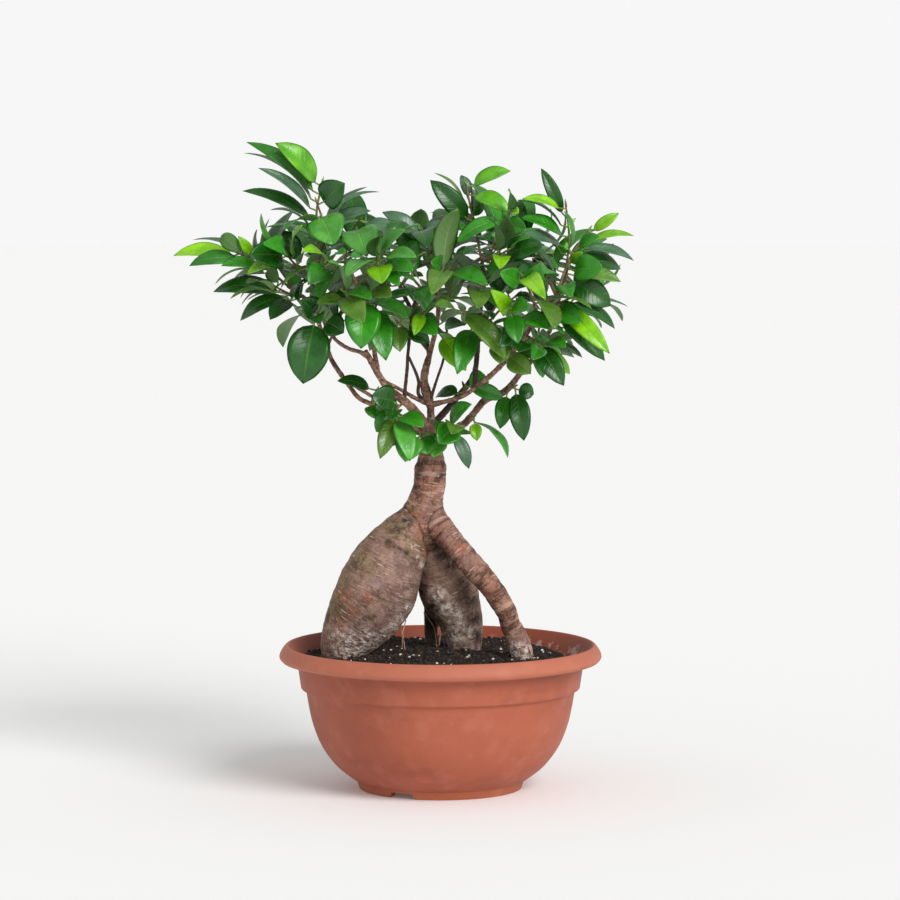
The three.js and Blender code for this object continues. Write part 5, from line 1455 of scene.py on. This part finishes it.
def blade_mesh(leaf, wave):
    """Upper and lower face of one blade, which share their rim. The midrib is sunk above, raised below.
    With each point goes its place on the blade: along it, across it, and 1 for the lower face."""
    columns = LEAF_COLUMNS
    points = []
    places = []
    upper = {}
    lower = {}
    for station in range(LEAF_STATIONS):
        t = station / LEAF_STATIONS
        t = t * (1 - TIP_CROWDING) + TIP_CROWDING * t * t
        half = max(blade_share(t), NARROWEST) * leaf.width / 2
        above = leaf.above(t)
        for k in range(columns + 1):
            share = 2 * k / columns - 1
            rise = LEAF_FOLD * abs(share) ** FOLD_CURVE
            curl = -EDGE_CURL * abs(share) ** 4
            curl += EDGE_WAVE * math.sin(t * EDGE_WAVE_PACE + wave + share * 2) * share * share
            middle = leaf.middle(t) + leaf.side * half * share + above * half * (rise + curl)
            on_rim = k in (0, columns)
            thick_here = 0 if on_rim else LEAF_HALF_THICKNESS * MM
            groove = MIDRIB_GROOVE * MM if share == 0 else 0
            rib = MIDRIB_HEIGHT * MM * (1 - t) if share == 0 else 0
            upper[station, k] = lower[station, k] = len(points)
            points.append(middle + above * (thick_here - groove))
            places.append((t, share, 0.0))
            if not on_rim:
                lower[station, k] = len(points)
                points.append(middle - above * (thick_here + rib))
                places.append((t, share, 1.0))
    for k in range(columns + 1):
        upper[LEAF_STATIONS, k] = lower[LEAF_STATIONS, k] = len(points)
    points.append(leaf.tip)
    places.append((1.0, 0.0, 0.0))
    faces = []
    for s in range(LEAF_STATIONS):
        for k in range(columns):
            top = [upper[s, k], upper[s, k + 1], upper[s + 1, k + 1], upper[s + 1, k]]
            bottom = [lower[s, k], lower[s + 1, k], lower[s + 1, k + 1], lower[s, k + 1]]
            faces += [tuple(dict.fromkeys(top)), tuple(dict.fromkeys(bottom))]
    rim = [upper[0, k] for k in range(columns, -1, -1)]
    faces.append(tuple(rim + [lower[0, k] for k in range(1, columns)]))
    return points, faces, places


leaf_material, leaf_shader, here = new_material("leaf")
tone = here.read("tone", "Color")
blade = here.read("blade", "Vector")
off_rib = blade.part(1).absolute()
below = blade.part(2)
midrib = off_rib.mask(0.075, 0.02)
vein_place = blade.part(0) * 9 - off_rib * 1.7 + 20
from_vein = (here.maths("FRACT", vein_place) - 0.5).absolute()
veins = from_vein.mask(0.12, 0.02) * off_rib.mask(0.97, 0.7)
mottle = here.grain(75, 3)
fleck = here.grain(620, 2)
rich = tone.blended("MULTIPLY", mottle.mask(0.3, 0.7).tint((0.62, 0.72, 0.6, 1), (1.12, 1.1, 1.0, 1)))
pale = rich.blended("ADD", (0.07, 0.14, 0.01, 1))
underside = coats(veins.tint(colour(106, 140, 84), colour(126, 156, 98)), [
    (midrib * 0.8, (150, 172, 112)),
])
leaf_colour = coats(rich, [
    (midrib * 0.5, pale),
    (veins * 0.07, pale),
    (off_rib.mask(0.93, 1.0) * 0.12, pale),
    (below * 0.75, underside),
])
leaf_gloss = 0.2 + mottle * 0.14 + below * 0.3
feed(leaf_shader, Base_Color=leaf_colour, Roughness=leaf_gloss, Specular_IOR_Level=0.6)
feed(leaf_shader, Normal=bump(midrib * -0.8 - veins * 0.2 + fleck * 0.12, 0.0005, 0.8))
shoot_material = two_tone(
    "green_shoot", (180, 3), (0.35, 0.65), (92, 118, 50), (142, 160, 84), 0.45, (900, 2, 0.0003))
twig_material = two_tone(
    "twig_bark", (220, 4), (0.35, 0.65), (98, 74, 50), (142, 118, 84), 0.65, (1000, 3, 0.0004))
LEAF, SHOOT, BARK = range(3)


def taper(radii, steps):
    """Radii in even steps from the first to the last."""
    low, high = radii
    return [(low + (high - low) * i / steps) * MM for i in range(steps + 1)]


def varied(tint, draw):
    """A leaf's tone, a little darker or lighter by a draw."""
    strength = 1 + TONE_SPREAD * (draw - 0.5)
    return (*(channel * strength for channel in tint[:3]), 1)


def add_leaf(parts, leaf, tint, wave):
    """Adds a leaf's stalk and blade to the parts of a mesh."""
    bend = leaf.root + leaf.petiole * PETIOLE_LENGTH * MM * PETIOLE_BEND
    line = SmoothLine([leaf.root, bend, leaf.base, leaf.middle(PETIOLE_END)])
    petiole = Rod(line.evenly(PETIOLE_STEPS), taper(PETIOLE_RADII, PETIOLE_STEPS), STALK_SIDE)
    parts.add(tube(petiole, PETIOLE_SIDES), SHOOT, GREEN)
    points, faces, places = blade_mesh(leaf, wave)
    parts.add((points, faces), LEAF, tint, places)


def leafy_object(name, parts):
    made = mesh_object(name, parts.points, parts.faces, [leaf_material, shoot_material, twig_material])
    made.data.polygons.foreach_set("material_index", parts.materials)
    give(made, "tone", parts.tones, "FLOAT_COLOR")
    give(made, "blade", parts.blade, "FLOAT_VECTOR")
    made.data.shade_smooth()
    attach(made, "root")
    return made


grown_leaves = []
stem_lines = []
for index, (name, stem, leaves) in enumerate(TWIGS):
    node = f"leafy_twig_{name}"
    solid_points = np.array([v.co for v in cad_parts[node].data.vertices])
    centres, places = leaf_places(stem, leaves, index)
    stem_line = SmoothLine(centres)
    stem_lines.append(stem_line)
    parts = Parts()
    steps = max(int(stem_line.lengths[-1] / (STEM_STEP * MM)), 6)
    shoot = Rod(stem_line.evenly(steps), taper(STEM_RADII, steps), STALK_SIDE)
    parts.add(tube(shoot, STEM_SIDES), BARK, GREEN)
    bud_way = shoot.frames[-1][0] * BUD_LENGTH * MM
    bud_centres = [shoot.centres[-1] + bud_way * share for share, _ in BUD_SHAPE]
    bud = Rod(bud_centres, [BUD_RADIUS * MM * share for _, share in BUD_SHAPE], STALK_SIDE)
    parts.add(tube(bud, PETIOLE_SIDES), SHOOT, GREEN)
    tone_draw = random_from(SEED * 3 + index)
    for i, place in enumerate(places):
        pick = tone_draw()
        wave = tone_draw() * math.tau
        leaf = kept_leaf(place, i, solid_points)
        if leaf is None:
            continue
        tint = RULE_TONES[int(pick * len(RULE_TONES))] if place[0] is RULE else place[0][5]
        add_leaf(parts, leaf, varied(tint, tone_draw()), wave)
        grown_leaves.append(leaf)
    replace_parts(leafy_object(f"twig_{name}", parts), node)


# The rest of the foliage: lower and inner leaves on short stalks. They grow from the same shoots and the
# branches' thin ends, where the leaves above leave a gap, and keep clear of every other leaf and branch.
CROWN_OUTLINE = [
    (186, 250), (236, 222), (262, 212), (285, 214), (330, 204), (372, 208), (405, 216), (430, 222),
    (450, 190), (500, 182), (556, 204), (600, 226), (624, 240), (626, 262), (612, 290), (606, 336),
    (585, 360), (560, 374), (530, 362), (505, 352), (482, 348), (440, 338), (382, 340), (345, 334),
    (318, 326), (284, 318), (240, 312), (212, 286),
]
FORK_OUTLINE = [
    (374, 396), (404, 404), (424, 416), (438, 418), (470, 402), (486, 410), (478, 446), (446, 464),
    (418, 464), (380, 460),
]
THIN_BRANCH = 2.7
WOOD_SPACING = 2
FILL_SPACING = 5
FILL_TRIES = 8
FILL_UP_TO = 0.98
FILL_LENGTHS = (31, 47)
FILL_LEAN = 2
CROWN_MIDDLE_Y = 30
FILL_TONES = [GREEN, DARK, GREEN, OLIVE, DARK, GREEN, DARK, LIGHT]
# A leaf is added where this share of it or more shows from the front or the side, in four rounds
FILL_GAINS = (0.34, 0.2, 0.12, 0.06)
LEAF_GAP = 1.7
WOOD_GAP = 2.8
CLEAR_BEYOND = 2
SAMPLE_ROWS = 10
SAMPLE_COLUMNS = 6
CELL = 5
NEAR_LEAVES = 62


def blade_samples(leaf):
    """Places spread evenly over a blade, in rows from its base to its tip."""
    samples = []
    for row in range(SAMPLE_ROWS + 1):
        t = row / SAMPLE_ROWS
        half = blade_share(t) * leaf.width / 2
        for k in range(SAMPLE_COLUMNS + 1):
            share = 2 * k / SAMPLE_COLUMNS - 1
            rise = leaf.above(t) * half * LEAF_FOLD * abs(share)
            samples.append(leaf.middle(t) + leaf.side * half * share + rise)
    return np.array(samples)


def inside_outline(pixels, outline):
    """Which pixels lie inside an outline."""
    within = np.zeros(len(pixels), bool)
    for (x0, y0), (x1, y1) in zip(outline, outline[1:] + outline[:1]):
        between = (pixels[:, 1] < y0) != (pixels[:, 1] < y1)
        crossing = x0 + (pixels[:, 1] - y0) * (x1 - x0) / ((y1 - y0) or 1)
        within ^= between & (pixels[:, 0] < crossing)
    return within


def cells_of(samples):
    """The squares that a blade covers, seen from the front in pixels and from the side in mm."""
    front = np.floor(pixels_of(samples) / CELL).astype(int)
    side = np.floor(samples[:, 1:] / MM / CELL).astype(int)
    return {("front", *cell) for cell in front}, {("side", *cell) for cell in side}


carriers = list(stem_lines)
wood_places = []
for name, line in LIMBS.items():
    limb = Limb(line)
    wood_places += limb.centres
    if name not in thick:
        thin = [c for c, r in zip(limb.centres, limb.radii) if r < THIN_BRANCH * MM]
        if len(thin) > 4:
            carriers.append(SmoothLine(thin[len(thin) // 3::3]))
for line in stem_lines:
    wood_places += line.evenly(int(line.lengths[-1] / (WOOD_SPACING * MM)))
wood_tree = KDTree(len(wood_places))
for i, place in enumerate(wood_places):
    wood_tree.insert(place, i)
wood_tree.balance()

fill_draw = random_from(SEED * 7)
candidates = []
for line in carriers:
    spots = max(int(line.lengths[-1] / (FILL_SPACING * MM)), 1)
    for number in range(spots * FILL_TRIES):
        share = (number // FILL_TRIES + fill_draw()) / spots
        root = line.along(share * FILL_UP_TO)
        tangent = (line.along(min(share + 0.02, 1)) - line.along(max(share - 0.02, 0))).normalized()
        place = (RULE, share, root, tangent, [fill_draw() for _ in range(4)])
        out, tip, width, face = rule_leaf(place, number, 0)
        shortest, longest = FILL_LENGTHS
        scale = (shortest + (longest - shortest) * fill_draw()) / LEAF_LENGTH
        tip = root + (tip - root) * scale
        from_axis = (root - BOWL_AXIS) / MM
        from_middle = Vector((from_axis.x - CROWN_MIDDLE_X, from_axis.y - CROWN_MIDDLE_Y, 0))
        face += from_middle / CROWN_REACH * FILL_LEAN
        leaf = Leaf(root, out, tip, width * scale, face)
        samples = blade_samples(leaf)
        pixels = pixels_of(samples)
        if not any(inside_outline(pixels, outline).all() for outline in (CROWN_OUTLINE, FORK_OUTLINE)):
            continue
        beyond = samples[CLEAR_BEYOND * (SAMPLE_COLUMNS + 1):]
        if min(wood_tree.find(place)[2] for place in beyond) < WOOD_GAP * MM:
            continue
        candidates.append((leaf, samples, cells_of(samples)))

blades = [blade_samples(leaf) for leaf in grown_leaves]
blade_middles = [samples.mean(axis=0) for samples in blades]
covered = set()
for samples in blades:
    covered = covered.union(*cells_of(samples))
fill = Parts()
for gain in FILL_GAINS:
    for leaf, samples, views in candidates:
        if max(len(view - covered) / len(view) for view in views) < gain:
            continue
        middle = samples.mean(axis=0)
        near = np.linalg.norm(np.array(blade_middles) - middle, axis=1) < NEAR_LEAVES * MM
        others = np.concatenate([samples[:0], *(blades[i] for i in np.flatnonzero(near))])
        if len(others):
            gaps = np.linalg.norm(samples[:, None] - others[None], axis=2)
            if gaps.min() < LEAF_GAP * MM:
                continue
        tint = FILL_TONES[int(fill_draw() * len(FILL_TONES))]
        add_leaf(fill, leaf, varied(tint, fill_draw()), fill_draw() * math.tau)
        blades.append(samples)
        blade_middles.append(middle)
        covered |= views[0] | views[1]
leafy_object("inner_leaves", fill)


# The studio: a plain pale floor that runs into a plain surround of the same brightness, and one broad
# soft lamp from the right, in front of the plant and above it.
FLOOR_SIZE = 30
FLOOR_SHADE = colour(249, 249, 248)
FLOOR_GLOW = 0.065
HORIZON_LIGHT = 0.93
SKY_LIGHT = 0.5
SKY_FADE = (0.3, 0.05)
LAMP_DIRECTION = Vector((0.5, -0.68, 0.56))
LAMP_DISTANCE = 3
LAMP_STRENGTH = 2.3
LAMP_SPREAD = math.radians(34)
WHITE = (1, 1, 1, 1)
floor_material, floor_shader, here = new_material("studio_floor")
feed(floor_shader, Base_Color=FLOOR_SHADE, Roughness=0.9, Specular_IOR_Level=0.2)
feed(floor_shader, Emission_Color=WHITE, Emission_Strength=FLOOR_GLOW)
corners = [Vector((x, y, 0)) * FLOOR_SIZE / 2 for x, y in ((-1, -1), (1, -1), (1, 1), (-1, 1))]
floor = mesh_object("studio_floor", corners, [(0, 1, 2, 3)], [floor_material])

world = bpy.data.worlds.new("studio")
world.use_nodes = True
surround = world.node_tree.nodes["Background"]
surround.inputs["Color"].default_value = WHITE
height_of_sight = Flow(world.node_tree).node("ShaderNodeTexCoord", None, None, "Generated").part(2)
sky = height_of_sight.mask(*SKY_FADE) * (HORIZON_LIGHT - SKY_LIGHT) + SKY_LIGHT
world.node_tree.links.new(sky.socket, surround.inputs["Strength"])
scene.world = world

lamp_data = bpy.data.lights.new("soft_lamp", "SUN")
lamp_data.energy = LAMP_STRENGTH
lamp_data.angle = LAMP_SPREAD
lamp = bpy.data.objects.new("soft_lamp", lamp_data)
lamp.location = LAMP_DIRECTION * LAMP_DISTANCE
lamp.rotation_euler = LAMP_DIRECTION.to_track_quat("Z", "Y").to_euler()
scene.collection.objects.link(lamp)
